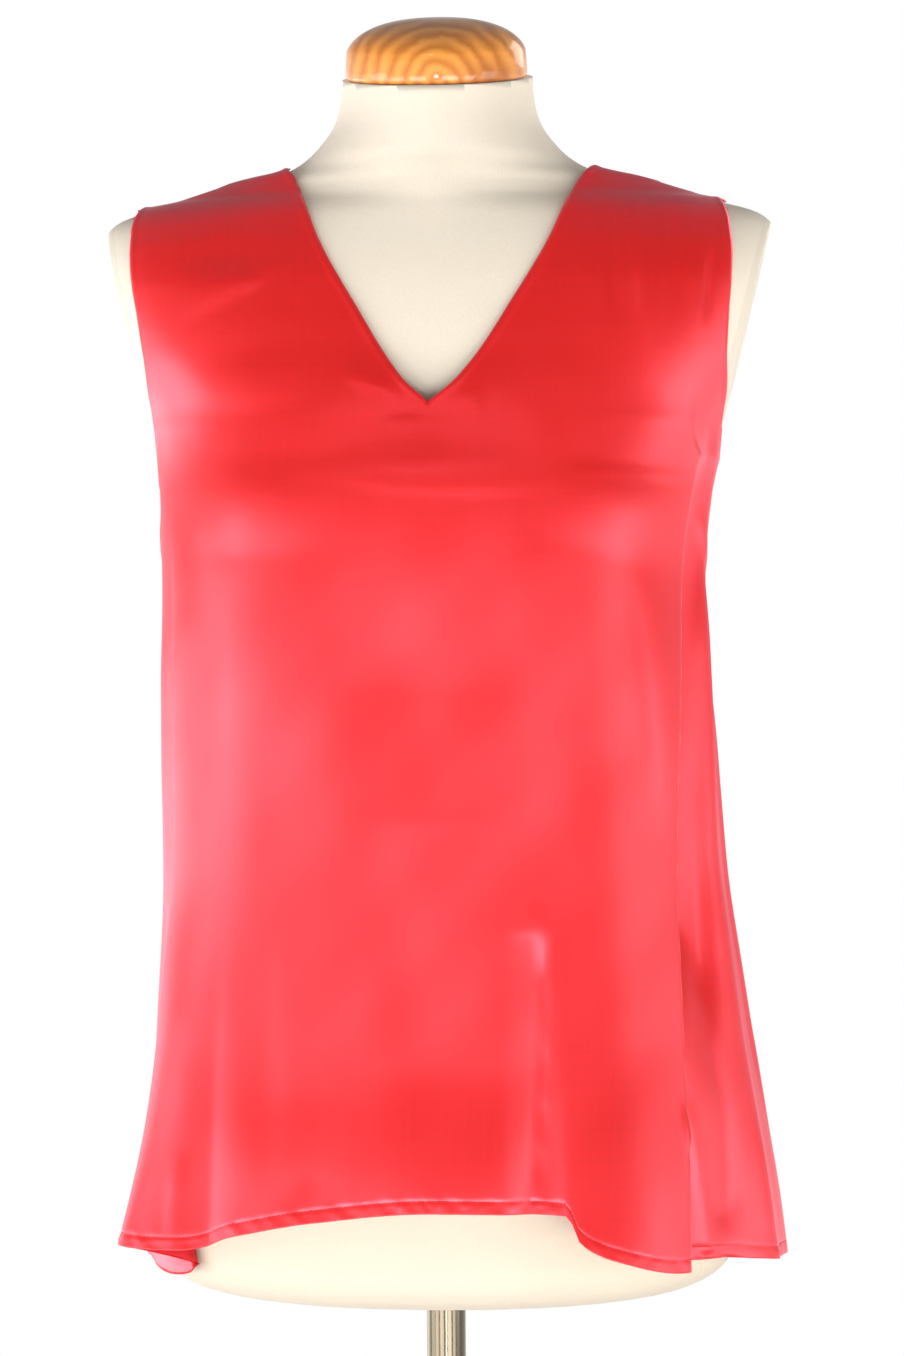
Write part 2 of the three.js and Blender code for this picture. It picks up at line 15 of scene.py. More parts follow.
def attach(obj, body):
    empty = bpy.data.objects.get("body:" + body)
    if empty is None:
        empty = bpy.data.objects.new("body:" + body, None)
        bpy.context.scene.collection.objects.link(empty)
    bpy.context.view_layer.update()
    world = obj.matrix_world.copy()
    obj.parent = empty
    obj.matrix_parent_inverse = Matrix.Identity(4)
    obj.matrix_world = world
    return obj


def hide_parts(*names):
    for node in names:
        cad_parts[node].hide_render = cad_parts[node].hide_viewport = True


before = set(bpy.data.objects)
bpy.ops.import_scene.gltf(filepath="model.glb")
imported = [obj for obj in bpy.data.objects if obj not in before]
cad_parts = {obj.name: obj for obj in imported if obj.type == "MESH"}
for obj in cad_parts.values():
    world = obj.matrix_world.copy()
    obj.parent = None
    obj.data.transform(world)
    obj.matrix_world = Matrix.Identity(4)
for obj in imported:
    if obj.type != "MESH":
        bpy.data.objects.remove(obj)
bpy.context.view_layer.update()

bl_info = {
    "name": "Satin Blouse on a Dress Form",
    "version": (1, 0, 0),
    "blender": (4, 5, 0),
    "location": "View3D > Sidebar > Blouse",
    "description": "Builds a sleeveless satin blouse, its dress form and a plain studio",
    "category": "Object",
}


# ---------------------------------------------------------------- tables
def table(columns, rows):
    """Named columns, each an array, from rows of numbers."""
    return dict(zip(columns.split(), np.array(rows, float).T))


def records(columns, rows):
    """Rows with named columns, where the first column may be a name."""
    return [dict(zip(columns.split(), row)) for row in rows]


MM = 0.001
UNDERARM_Z = 1205
SEAM_Y = 4  # side seams lie a little behind the pole axis
SEAM_GAP = 0.04  # between the front and the back where they are sewn
REST_GAP = 0.7  # air under cloth that lies on the form
HANG_GAP = 1.6  # air under hanging cloth
SHOULDER_EASE = 1.3
BACK_EASE = 1.4
REST_EASE = 2.4
CLOTH = 1.2  # the frame's cloth wall; the shell made here is thinner and keeps its outer face
EVEN_SPACE = CLOTH + 0.5  # from the form, after the push off it is evened out
EVEN_TIMES = 14

# How points are pushed out of the form: times at most, the step that feels the way out, the
# longest push at a time and the shortfall that is close enough.
PUSH_TIMES = 12
PUSH_FEEL = 0.5
PUSH_MOST = 4
PUSH_ENOUGH = 0.02

HEM_LAYERS = 1.9
HEM_TALL = 8
HEM_CLEAR = 0.12  # between the panel's wall and its turned hem

POLE_RADIUS = 12.5
POLE_Z = (12, 760)
BORE_RADIUS = 12.8
BORE_DEEP = 60
FORM_LOW_Z = 700  # the form's open lower edge lies below this
BASE_RADIUS = 170
SOCKET_RADIUS = 24
SOCKET_TOP_Z = 62
BASE_BORE_Z = 11.7
NECK_TILT = math.radians(12)
NECK_TOP = Vector((0, -9, 1463))
CAP_RADIUS = 57
CAP_HEIGHT = 38
CAP_EDGE = 13
CAP_LOW = 2.6  # where the rounded lower rim meets the upright edge
CAP_POWER = 0.82
CAP_STEPS = 24
ARM_SLANT = math.radians(14)
ARM_END = (206, 1360)
ARM_LOW_Z = 1180  # the arm ends' planes cut nothing below this
ARM_PLATE = 4
PLATE_GAP = 0.04
PLATE_ROUND = 1.3
SLIVER = 0.7  # plate faces narrower than this are merged before its rim is rounded
CAP_GAP = 0.3
FORM_STEPS = 160  # columns round the form
FORM_HEIGHT_STEP = 5  # millimetres between its rows
LOW_SHADE_Z = 0.68  # metres up, where the painted shade on the cover is deepest

# Horizontal sections of the form: half width, depth before and behind the pole, squareness.
FORM_SECTIONS = table("z half front back power", [
    (694, 36, 21, 24, 2.2),
    (696, 82, 47, 54, 2.2),
    (700, 122, 70, 80, 2.25),
    (706, 151, 87, 98, 2.3),
    (715, 170, 98, 111, 2.3),
    (727, 180, 104, 118, 2.3),
    (760, 182, 106, 121, 2.3),
    (810, 180, 107, 122, 2.3),
    (880, 168, 101, 113, 2.3),
    (950, 143, 89, 94, 2.3),
    (1010, 123, 80, 81, 2.3),
    (1060, 126, 84, 84, 2.3),
    (1130, 142, 95, 95, 2.35),
    (1205, 160, 104, 104, 2.4),
    (1250, 181, 106, 106, 2.5),
    (1290, 200, 102, 104, 2.5),
    (1325, 211, 94, 99, 2.5),
    (1350, 214, 86, 93, 2.3),
    (1366, 212, 80, 88, 2.0),
    (1375, 205, 77, 85, 1.75),
    (1381, 191, 75, 83, 1.55),
    (1386, 167, 74, 81, 1.45),
    (1392, 147, 73, 79, 1.45),
    (1398, 126, 72, 76, 1.55),
    (1404, 100, 71, 73, 1.75),
    (1409, 89, 70, 69, 1.9),
    (1415, 80.5, 69.5, 65, 2.0),
    (1422, 74, 69, 60, 2.0),
    (1431, 67, 68.5, 55, 2.0),
    (1442, 62.5, 68, 51.5, 2.0),
    (1456, 60.2, 68, 50, 2.0),
    (1482, 59.4, 68, 50, 2.0),
])
BUST = {"x": 88, "z": 1198, "out": 20, "wide": 50, "above": 66, "below": 50}
CLOTH_BUST = {
    "x": 104, "z": 1198, "out": 20, "wide": 62, "above": 70, "below": 150, "between": 0.38,
}

# Horizontal sections of the hanging blouse, to each side seam and to the middle of each panel.
BLOUSE_SECTIONS = table("z left right front back power", [
    (690, 193, 213, 148, 150, 2.55),
    (730, 189, 209, 145, 147, 2.5),
    (775, 187, 203, 140, 143, 2.5),
    (870, 182, 187, 130, 136, 2.45),
    (970, 177, 174, 123, 128, 2.45),
    (1075, 177, 169, 118, 119, 2.4),
    (1150, 176, 166, 113, 113, 2.35),
    (1205, 177, 171, 109, 110, 2.35),
    (1245, 186, 184, 106, 112, 2.45),
])
LIES_ON_FORM = (1205, 1290)

FRONT_NECK = table("z half", [
    (1253, 0), (1268, 17), (1317, 48.5), (1354, 69.5), (1388, 84), (1407, 95),
])
BACK_NECK = table("z half", [
    (1372, 0), (1373, 22), (1376, 40), (1384, 62), (1396, 83), (1407, 95),
])
NECK_MIDDLE_X = 3
ARMHOLE = table("z left right", [
    (1205, 177, 171),
    (1222, 176, 175),
    (1262, 177, 179),
    (1300, 182, 182),
    (1345, 189, 185),
    (1370, 190, 183),
    (1384, 187, 178),
])
SHOULDER_TIP_Z = {"left": 1384, "right": 1386}
SHOULDER_BOW = 2.5

# Hem height along each panel: across is -1 at the left seam and 1 at the right one.
FRONT_HEM = table("across z", [
    (-1, 725), (-0.87, 726), (-0.7, 742), (-0.56, 741), (-0.44, 751), (-0.25, 761),
    (0, 767), (0.262, 766), (0.285, 750), (0.35, 740), (0.53, 729), (0.76, 731), (1, 722),
])
BACK_HEM = table("across z", [
    (-1, 725), (-0.5, 716), (0, 713), (0.5, 715), (1, 722),
])

# Drape folds. Each starts at a height and grows down to the hem, where it moves the cloth by
# (dx, dy); its middle and half width along the panel are given at the underarm and the hem.
FOLD_COLUMNS = "name start grow top_at hem_at top_half hem_half dx dy"
FRONT_FOLDS = records(FOLD_COLUMNS, [
    ("right side valley", 1265, 0.8, 0.87, 0.75, 0.1, 0.22, -44, 3),
    ("left side nose", 1010, 2.2, -0.66, -0.67, 0.16, 0.17, -28, -9),
    ("left side valley", 1120, 3.0, -0.88, -0.865, 0.1, 0.13, 42, -21),
    ("small groove", 935, 0.8, 0.26, 0.2, 0.05, 0.075, 0, 7),
    ("right flare", 1040, 1.3, 0.45, 0.37, 0.2, 0.18, 2, -11),
    ("left hem wave", 850, 1.4, -0.4, -0.36, 0.12, 0.15, 0, -3),
    ("belly hollow", 1000, 1.0, 0.0, -0.02, 0.22, 0.2, 0, 5),
])
BACK_FOLDS = records(FOLD_COLUMNS, [
    ("right seam roll", 1110, 0.7, 0.86, 0.84, 0.12, 0.16, 10, 2),
    ("right flare", 1020, 1.2, 0.48, 0.5, 0.2, 0.2, 8, 15),
    ("middle hollow", 960, 1.3, 0.1, 0.14, 0.2, 0.2, 0, -13),
    ("left flare", 1000, 1.3, -0.3, -0.3, 0.2, 0.22, -4, 14),
    ("left hollow", 900, 1.2, -0.62, -0.64, 0.14, 0.15, 8, -10),
])

# Creases laid into the cloth, each along a bow from (h0, z0) past (h1, z1) to
# (h2, z2). h is x on the front and the back, and y on a flank. rise is out of the cloth, or
# into it where it is below zero; lean makes one slope steeper; fade_a and fade_b are the
# shares of the length over which the ends die away.
CREASE_COLUMNS = "name h0 z0 h1 z1 h2 z2 rise wide lean fade_a fade_b"
FRONT_CREASES = records(CREASE_COLUMNS, [
    ("pull across the bust", 96, 1211, 0, 1186, -124, 1230, 0.6, 20, -0.55, 0.35, 0.4),
    ("left bust edge", -160, 1200, -98, 1190, -16, 1200, 1.9, 34, -0.1, 0.4, 0.5),
    ("right bust edge", 56, 1206, 108, 1192, 158, 1178, 1.8, 31, -0.1, 0.45, 0.4),
    ("under the neck point roll", -96, 1268, -10, 1246, 70, 1262, 1.6, 38, 0, 0.4, 0.4),
    ("pressed line", 78, 1209, 120, 1210, 166, 1208, 0.3, 4, 0.6, 0.25, 0.3),
    ("left of the neck point", -54, 1274, -38, 1263, -14, 1257, 0.8, 8, 0.4, 0.4, 0.4),
    ("under the neck point", -30, 1248, -14, 1246, 2, 1250, -0.35, 7, 0, 0.4, 0.4),
    ("right of the neck point", 22, 1262, 30, 1252, 36, 1238, 0.8, 6, 0.2, 0.4, 0.5),
    ("left chest roll", -165, 1312, -120, 1330, -78, 1352, 1.5, 20, 0.3, 0.4, 0.4),
    ("left chest hollow", -160, 1340, -120, 1352, -84, 1338, -1.5, 18, 0, 0.5, 0.4),
    ("left lower chest", -150, 1268, -108, 1262, -62, 1280, 1.1, 22, 0, 0.5, 0.5),
    ("right shoulder pull", 106, 1392, 110, 1340, 117, 1290, -1.1, 8, 0, 0.25, 0.5),
    ("right shoulder roll", 122, 1390, 128, 1340, 137, 1262, 1.1, 10, 0.2, 0.25, 0.5),
    ("right shoulder crease", 150, 1382, 151, 1342, 148, 1296, -0.9, 8, 0, 0.3, 0.5),
    ("right armhole crease", 172, 1352, 170, 1326, 168, 1296, -1.4, 5, 0.2, 0.4, 0.5),
    ("left flank roll", -163, 1198, -149, 1130, -161, 1050, 1.6, 14, 0.3, 0.4, 0.5),
    ("left flank hollow", -140, 1180, -130, 1110, -140, 1010, -0.9, 16, 0, 0.4, 0.5),
    ("right flank roll", 122, 1180, 134, 1100, 144, 975, 1.6, 16, 0.3, 0.35, 0.4),
    ("right flank hollow", 108, 1178, 120, 1090, 132, 960, -0.9, 20, 0, 0.35, 0.5),
    ("groove", 68.5, 932, 70, 870, 62, 762, -2.0, 6.0, -0.4, 0.2, 0.0),
    ("groove's head", 63, 954, 66, 940, 69, 922, 0.35, 7, 0, 0.5, 0.5),
    ("long soft pull", -40, 1120, -46, 980, -60, 830, 1.3, 30, 0, 0.5, 0.4),
    ("hang below the bust", -90, 1212, 0, 1206, 100, 1212, 7.0, 135, 0, 0.4, 0.4),
    ("belly spring", -60, 764, 6, 768, 76, 764, 4.5, 88, 0, 0.35, 0.35),
    ("right belly pull", 92, 1080, 104, 980, 112, 820, 1.2, 24, 0, 0.5, 0.3),
    ("left hem curl", -150, 806, -158, 778, -156, 740, 1.2, 8, 0.2, 0.5, 0.0),
    ("left hem lift", -70, 790, -76, 774, -82, 756, 0.6, 13, 0, 0.6, 0.0),
    ("left hem dip", -102, 776, -104, 762, -108, 748, -0.5, 13, 0, 0.6, 0.0),
    ("right strip roll", 165, 1172, 162, 1060, 166, 900, 3.4, 11, 0, 0.3, 0.35),
    ("right strip low roll", 168, 1000, 174, 880, 192, 740, 2.6, 13, 0, 0.35, 0.5),
    ("right hem ridge", 163, 868, 168, 815, 180, 735, -3.0, 12, 0.2, 0.4, 0.2),
    ("right strip shade", 163, 1140, 160, 1000, 164, 800, -2.2, 8, 0, 0.3, 0.3),
    ("right hem small ridge", 151, 832, 158, 796, 165, 736, 1.8, 5, 0.3, 0.3, 0.0),
    ("right hem lift", 196, 820, 200, 780, 205, 735, 0.8, 9, 0, 0.5, 0.2),
    ("left flare roll", -140, 1020, -140, 860, -142, 716, 4.0, 46, 0, 0.5, 0.0),
    ("front swell", 0, 1196, 4, 980, 0, 720, 5.0, 100, 0, 0, 0),
    ("left hem kick", -150, 796, -90, 806, -10, 796, 0.8, 34, 0.1, 0.4, 0.4),
])
BACK_CREASES = records(CREASE_COLUMNS, [
    ("shoulder blade pull", -120, 1268, -10, 1292, 110, 1262, 1.8, 20, 0.3, 0.3, 0.3),
    ("middle back shade", -70, 1236, 0, 1220, 84, 1240, -1.4, 26, 0, 0.4, 0.4),
    ("neck ease left", -44, 1368, -38, 1340, -52, 1296, -0.9, 10, 0.2, 0.3, 0.5),
    ("neck ease right", 58, 1366, 52, 1336, 60, 1290, 0.9, 10, 0.2, 0.3, 0.5),
    ("left shoulder pull", -128, 1386, -120, 1340, -130, 1280, -1.0, 9, 0, 0.3, 0.5),
    ("right shoulder pull", 134, 1384, 128, 1336, 136, 1286, 1.0, 9, 0, 0.3, 0.5),
    ("left waist roll", -120, 1200, -104, 1080, -112, 930, 3.4, 20, 0.35, 0.4, 0.4),
    ("left waist hollow", -90, 1170, -78, 1050, -84, 900, -3.2, 18, 0, 0.4, 0.4),
    ("middle waist roll", -20, 1150, -30, 1010, -48, 830, 2.8, 24, 0.2, 0.5, 0.3),
    ("right waist roll", 70, 1190, 84, 1040, 80, 860, 3.2, 20, -0.3, 0.4, 0.3),
    ("right waist hollow", 104, 1160, 116, 1030, 118, 880, -3.4, 17, 0, 0.4, 0.4),
    ("hem groove left", -62, 900, -58, 820, -66, 714, -3.0, 10, 0.4, 0.3, 0.0),
    ("hem groove right", 46, 880, 42, 800, 46, 714, -2.8, 10, -0.3, 0.35, 0.0),
    ("hem roll", 112, 860, 122, 790, 126, 716, 2.0, 12, 0.3, 0.4, 0.0),
    ("armhole crease", -166, 1340, -164, 1310, -160, 1282, -1.0, 6, 0, 0.4, 0.5),
])
LEFT_FLANK_CREASES = records(CREASE_COLUMNS, [
    ("left flank back", 40, 1176, 50, 1050, 58, 880, -3.0, 16, 0, 0.35, 0.3),
    ("left flank roll", 66, 1150, 78, 1020, 84, 860, 2.4, 14, 0.3, 0.4, 0.3),
    ("left front flank", -52, 1150, -46, 1040, -58, 900, -2.0, 14, 0.2, 0.4, 0.4),
    ("left underarm pull", -24, 1194, -10, 1172, 6, 1152, 1.1, 7, 0.2, 0.4, 0.4),
])
RIGHT_FLANK_CREASES = records(CREASE_COLUMNS, [
    ("right flank back", 44, 1170, 52, 1060, 60, 900, -3.0, 15, 0.2, 0.35, 0.3),
    ("right flank roll", 26, 1120, 34, 980, 40, 780, 2.4, 12, 0.3, 0.4, 0.2),
    ("right underarm pull", -20, 1196, -8, 1170, 8, 1148, 1.2, 7, 0.2, 0.4, 0.4),
])

# Waves of the uneven hang: how wide and high each is, how far it moves the cloth, its slant,
# and where along the wave it starts.
HANG_WAVES = records("wide high size slant start", [
    (47, 420, 0.16, 0.10, 0.4),
    (71, 310, 0.3, -0.07, 1.9),
    (33, 260, 0.08, 0.05, 3.3),
    (118, 190, 0.32, 0.12, 5.1),
    (62, 95, 0.12, -0.3, 2.2),
])
HANG_FADE_Z = (1150, 1270)
BACK_HANG_FROM = 700  # where along the waves the back's hang starts, away from the front's
HANG_SEAM_FADE = 26  # millimetres beside a side seam where the hang is even

# Soft ridges, or troughs where rise is below zero, beside the cloth's edges: how high, how far
# from the edge their middle is, and how wide they are to each side.
EDGE_FORM = ((0.45, 3.2, 1.8), (-0.8, 0, 0.9))
SEAM_FORM = ((-0.7, 0, 1.3), (0.25, 4, 2))
HEM_PUCKER = (0.5, 4.5, 4.5)
PUCKER_WAVES = ((13.1, 1.0), (8.3, 0.7), (21.7, 0.8), (5.1, 0.35))  # length and share of each
PUCKER_EVEN = 2.2
PUCKER_SLANT = 0.7
STITCH_UP = 7.7
STITCH_GROOVE = (-0.22, STITCH_UP, 1.1)
HEM_ROWS = (0, 0.7, 1.5, 3, 4.6, 6, 7, STITCH_UP, 8.4, 9.2, 10.6, 12.6, 15)
STITCH_ROW = HEM_ROWS.index(STITCH_UP)
STITCH_LONG = 0.36  # half a stitch's length, as a share of the pitch
STITCH_WIDE = 0.24  # half its width
STITCH_HIGH = 0.2
STITCH_OUT = 0.12
EDGE_SHARES = (0.004, 0.009, 0.015, 0.024)
EVEN_SHARES = (0.035, 0.965)
ROWS_CROWD = 1.35  # above 1, rows lie closer together toward the shoulder seam
SEAM_SHARE = 0.97  # of the way to the side seam, past which points keep to the seam's plane
NO_EDGE = 99  # a distance at which no edge is felt
CREASE_STEPS = 32
CREASE_TURN = (0.12, 0.4)  # how far cloth must be turned to a face to take its creases


# ---------------------------------------------------------------- small helpers
def mix(a, b, t):
    return a + (b - a) * t


def smooth(low, high, v):
    t = np.clip((v - low) / (high - low), 0, 1)
    return t * t * (3 - 2 * t)


def follow(rows, axis, column, at):
    """A table's column at values of its axis, along a curve that never overshoots."""
    knots, values = rows[axis], rows[column]
    rise = np.diff(values) / np.diff(knots)
    slope = np.concatenate(([rise[0]], rise[1:], [rise[-1]]))
    before, after = rise[:-1], rise[1:]
    level = before * after > 0
    slope[1:-1] = np.where(level, 2 * before * after / np.where(level, before + after, 1), 0)
    at = np.clip(at, knots[0], knots[-1])
    i = np.clip(np.searchsorted(knots, at) - 1, 0, len(knots) - 2)
    span = np.diff(knots)[i]
    t = (at - knots[i]) / span
    t2, t3 = t * t, t * t * t
    return (
        values[i] * (2 * t3 - 3 * t2 + 1)
        + slope[i] * span * (t3 - 2 * t2 + t)
        + values[i + 1] * (3 * t2 - 2 * t3)
        + slope[i + 1] * span * (t3 - t2)
    )


def finish_mesh(bm, name, materials):
    """Writes the bmesh as a smooth object at the origin that rides with the form."""
    mesh = bpy.data.meshes.new(name)
    bm.to_mesh(mesh)
    bm.free()
    mesh.polygons.foreach_set("use_smooth", [True] * len(mesh.polygons))
    for material in materials:
        mesh.materials.append(material)
    piece = bpy.data.objects.new(name, mesh)
    bpy.context.scene.collection.objects.link(piece)
    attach(piece, "root")
    return piece


# ---------------------------------------------------------------- dress form shape
def form_at(z, column):
    return follow(FORM_SECTIONS, "z", column, z)


def bust_out(x, z):
    """Millimetres that the form's bust stands out of its plain sections."""
    side = (np.abs(x) - BUST["x"]) / BUST["wide"]
    up = (z - BUST["z"]) / np.where(z > BUST["z"], BUST["above"], BUST["below"])
    return BUST["out"] * np.exp(-side * side - up * up)


def form_points(angle, z):
    """Points round the form, angle 0 in front and growing to +X."""
    power = form_at(z, "power")
    s, c = np.sin(angle), np.cos(angle)
    x = form_at(z, "half") * np.sign(s) * np.abs(s) ** (2 / power)
    deep = np.abs(c) ** (2 / power)
    front = -(form_at(z, "front") + bust_out(x, z)) * deep
    y = np.where(c > 0, front, form_at(z, "back") * deep)
    return np.stack([x, y, z], axis=-1)


def outside_form(p):
    """Distance outside the form as a share of its size."""
    x, y, z = p[..., 0], p[..., 1], p[..., 2]
    power = form_at(z, "power")
    deep = np.where(y < 0, form_at(z, "front") + bust_out(x, z), form_at(z, "back"))
    size = np.abs(x / form_at(z, "half")) ** power + np.abs(y / deep) ** power
    return size ** (1 / power) - 1


def clear_of_form(p, space, on_seam):
    """Moves points out to `space` millimetres from the form where they lie closer."""
    p = p.copy()
    for _ in range(PUSH_TIMES):
        here = outside_form(p)
        rise = np.empty_like(p)
        for axis in range(3):
            by = np.zeros(3)
            by[axis] = PUSH_FEEL
            rise[..., axis] = (outside_form(p + by) - outside_form(p - by)) / (2 * PUSH_FEEL)
        rise[..., 1] = np.where(on_seam, 0, rise[..., 1])
        size = np.maximum(np.linalg.norm(rise, axis=-1), 1e-6)
        short = np.clip(space - here / size, 0, PUSH_MOST)
        if short.max() <= PUSH_ENOUGH:
            break
        p += rise * (short / size)[..., None]
    return p


# ---------------------------------------------------------------- blouse shape
def by_side(rows, axis, at, right):
    """The left or right column of a table at values of its axis."""
    return np.where(right, follow(rows, axis, "right", at), follow(rows, axis, "left", at))


def blouse_at(z, column, right):
    """A blouse section: hanging below, the form with a little ease above the bust."""
    if column == "half":
        hanging = by_side(BLOUSE_SECTIONS, "z", z, right)
    else:
        hanging = follow(BLOUSE_SECTIONS, "z", column, z)
    ease = {"half": REST_EASE, "front": REST_EASE, "back": REST_EASE + BACK_EASE, "power": 0}
    lying = form_at(z - REST_EASE, column) + ease[column]
    return mix(hanging, lying, smooth(*LIES_ON_FORM, z))


def cloth_bust(x, z):
    """Millimetres that the cloth over the bust stands out, bridged between its two sides."""
    bust = CLOTH_BUST
    off = np.abs(x) - bust["x"]
    up = (z - bust["z"]) / np.where(z > bust["z"], bust["above"], bust["below"])
    inside = mix(bust["between"], 1, smooth(0.2 * bust["x"], bust["x"], np.abs(x)))
    across = np.where(off < 0, inside, np.exp(-((off / bust["wide"]) ** 2)))
    hanging = bust["out"] * across * np.exp(-up * up)
    return mix(hanging, bust_out(x, z - REST_EASE), smooth(*LIES_ON_FORM, z))


def fold_shift(folds, across, z, hem_z):
    """Millimetres in x and y that the drape folds move each point."""
    shift = np.zeros(across.shape + (2,))
    along = np.clip((UNDERARM_Z - z) / (UNDERARM_Z - hem_z), 0, 1)
    for fold in folds:
        down = np.clip((fold["start"] - z) / (fold["start"] - hem_z), 0, 1)
        middle = mix(fold["top_at"], fold["hem_at"], along)
        t = (across - middle) / mix(fold["top_half"], fold["hem_half"], along)
        share = np.clip(1 - t * t, 0, 1) ** 1.5 * down ** fold["grow"]
        shift[..., 0] += fold["dx"] * share
        shift[..., 1] += fold["dy"] * share
    return shift


def panel_points(panel, across, level, right):
    """Points of a panel's outer face. across runs -1..1 from seam to seam; level runs -1..0
    from the hem to the underarm and 0..1 from there to the shoulder seam."""
    share = np.abs(across)
    side = "right" if right else "left"
    hem_z = follow(panel["hem"], "across", "z", across)
    neck = panel["neck"]
    up = np.clip(level, 0, 1)
    inner_z = mix(UNDERARM_Z, neck["z"][-1], up)
    outer_z = mix(UNDERARM_Z, SHOULDER_TIP_Z[side], up)
    bow = SHOULDER_BOW * 4 * share * (1 - share) * up
    hanging = level <= 0
    below_z = UNDERARM_Z + level * (UNDERARM_Z - hem_z)
    z = np.where(hanging, below_z, mix(inner_z, outer_z, share) + bow)
    inner_x = np.where(inner_z > neck["z"][0], follow(neck, "z", "half", inner_z), 0)
    outer_x = follow(ARMHOLE, "z", side, outer_z)
    last = level > 0.999
    inner = np.where(last, 1, np.clip(inner_x / blouse_at(inner_z, "half", right), 0, 1))
    outer = np.where(last, 1, np.clip(outer_x / blouse_at(outer_z, "half", right), 0, 1))
    turn = np.where(hanging, share * np.pi / 2, mix(np.arcsin(inner), np.arcsin(outer), share))
    middle = NECK_MIDDLE_X * smooth(0, 0.5, level) * (1 - share)
    wide = np.sin(turn)
    power = blouse_at(z, "power", right)
    deep = np.clip(1 - wide**power, 0, 1) ** (1 / power)
    x = (1 if right else -1) * blouse_at(z, "half", right) * wide + middle
    seam_y = SEAM_Y * (1 - smooth(0, 1, level))
    facing = panel["facing"]
    depth = blouse_at(z, "front" if facing < 0 else "back", right)
    if facing < 0:
        depth = depth + cloth_bust(x, z)
    y = seam_y + facing * (SEAM_GAP / 2 + (depth - facing * seam_y) * deep)
    points = np.stack([x, y, z], axis=-1)
    points[..., :2] += fold_shift(panel["folds"], across, z, hem_z)
    layers = HEM_LAYERS * (1 - smooth(HEM_TALL, 4 * HEM_TALL, z - hem_z))
    space = CLOTH + np.where(hanging, HANG_GAP, REST_GAP) + layers
    space = space + SHOULDER_EASE * smooth(0.6, 0.85, level)
    on_seam = last | ((share > SEAM_SHARE) & hanging)
    return points, space, on_seam


def panel_levels(panel, across):
    """Levels of the rows at each column, and the number of the row at the neck's low point."""
    def steps(key):
        return np.arange(1, panel[key] + 1) / panel[key]

    hem_z = follow(panel["hem"], "across", "z", across)
    low = [-1 + d / (UNDERARM_Z - hem_z) for d in HEM_ROWS]
    below = [mix(low[-1], 0, t) for t in steps("rows_below")]
    neck_z = panel["neck"]["z"]
    neck_low = (neck_z[0] - UNDERARM_Z) / (neck_z[-1] - UNDERARM_Z)
    under = [np.full_like(across, neck_low * t) for t in steps("rows_under")]
    crowded = 1 - (1 - steps("rows_over")) ** ROWS_CROWD
    over = [np.full_like(across, mix(neck_low, 1, t)) for t in crowded]
    return np.stack(low + below + under + over), len(low + below + under) - 1


def column_shares(count):
    """Shares from the middle to the side seam, closer together at both edges."""
    near = np.array(EDGE_SHARES)
    return np.concatenate(([0], near, np.linspace(*EVEN_SHARES, count), (1 - near)[::-1], [1]))


def spread(shift, times):
    """Evens out a shift over the grid, and keeps it along the panel's edges."""
    shift = shift.copy()
    for _ in range(times):
        around = shift[:-2, 1:-1] + shift[2:, 1:-1] + shift[1:-1, :-2] + shift[1:-1, 2:]
        shift[1:-1, 1:-1] = mix(shift[1:-1, 1:-1], around / 4, 0.8)
    return shift


def arc(points, axis):
    """Distance along the grid lines from their first point."""
    steps = np.linalg.norm(np.diff(points, axis=axis), axis=-1)
    start = np.zeros_like(steps[:1] if axis == 0 else steps[:, :1])
    return np.concatenate([start, np.cumsum(steps, axis=axis)], axis=axis)


def outward(points, right, facing):
    """Unit normals of a half panel whose columns run from the middle to the seam."""
    along = np.gradient(points, axis=1)
    up = np.gradient(points, axis=0)
    normal = np.cross(along, up)
    if right != (facing < 0):
        normal = -normal
    size = np.maximum(np.linalg.norm(normal, axis=-1, keepdims=True), 1e-9)
    return normal / size


def crease_height(crease, place):
    """Millimetres that one crease lifts the cloth at each place, and where it is near."""
    t = np.linspace(0, 1, CREASE_STEPS + 1)[:, None]
    ends = np.array([[crease[f"h{k}"], crease[f"z{k}"]] for k in range(3)], float)
    line = (1 - t) ** 2 * ends[0] + 2 * t * (1 - t) * ends[1] + t * t * ends[2]
    reach = crease["wide"] * (1 + abs(crease["lean"]))
    low, high = line.min(0) - reach, line.max(0) + reach
    near = np.all((place > low) & (place < high), axis=-1)
    here = place[near]
    steps = np.diff(line, axis=0)
    gap = here[:, None] - line[:-1]
    s = np.clip((gap * steps).sum(-1) / (steps * steps).sum(-1), 0, 1)
    off = gap - steps * s[..., None]
    far = np.linalg.norm(off, axis=-1)
    k, rows = far.argmin(1), np.arange(len(here))
    turn = steps[k, 0] * off[rows, k, 1] - steps[k, 1] * off[rows, k, 0]
    wide = crease["wide"] * (1 + crease["lean"] * np.tanh(turn / crease["wide"]))
    run = (k + s[rows, k]) / CREASE_STEPS
    height = crease["rise"] * np.clip(1 - (far[rows, k] / wide) ** 2, 0, 1) ** 2
    for fade, from_end in ((crease["fade_a"], run), (crease["fade_b"], 1 - run)):
        if fade:
            height = height * smooth(0, fade, from_end)
    return height, near


def crease_shift(creases, points, normals):
    """Millimetres out of the cloth that the creases move each point."""
    total = np.zeros(points.shape[:2])
    facings = {"front": (1, -1), "back": (1, 1), "left": (0, -1), "right": (0, 1)}
    for face, rows in creases.items():
        axis, sign = facings[face]
        toward = smooth(*CREASE_TURN, sign * normals[..., axis])
        turned_there = toward > 0
        place = points[turned_there][:, [1 - axis, 2]]
        lift = np.zeros(len(place))
        for crease in rows:
            height, near = crease_height(crease, place)
            lift[near] += height
        total[turned_there] += lift * toward[turned_there]
    return total


def ridge(distance, rise, at, wide):
    return rise * np.exp(-(((distance - at) / wide) ** 2))


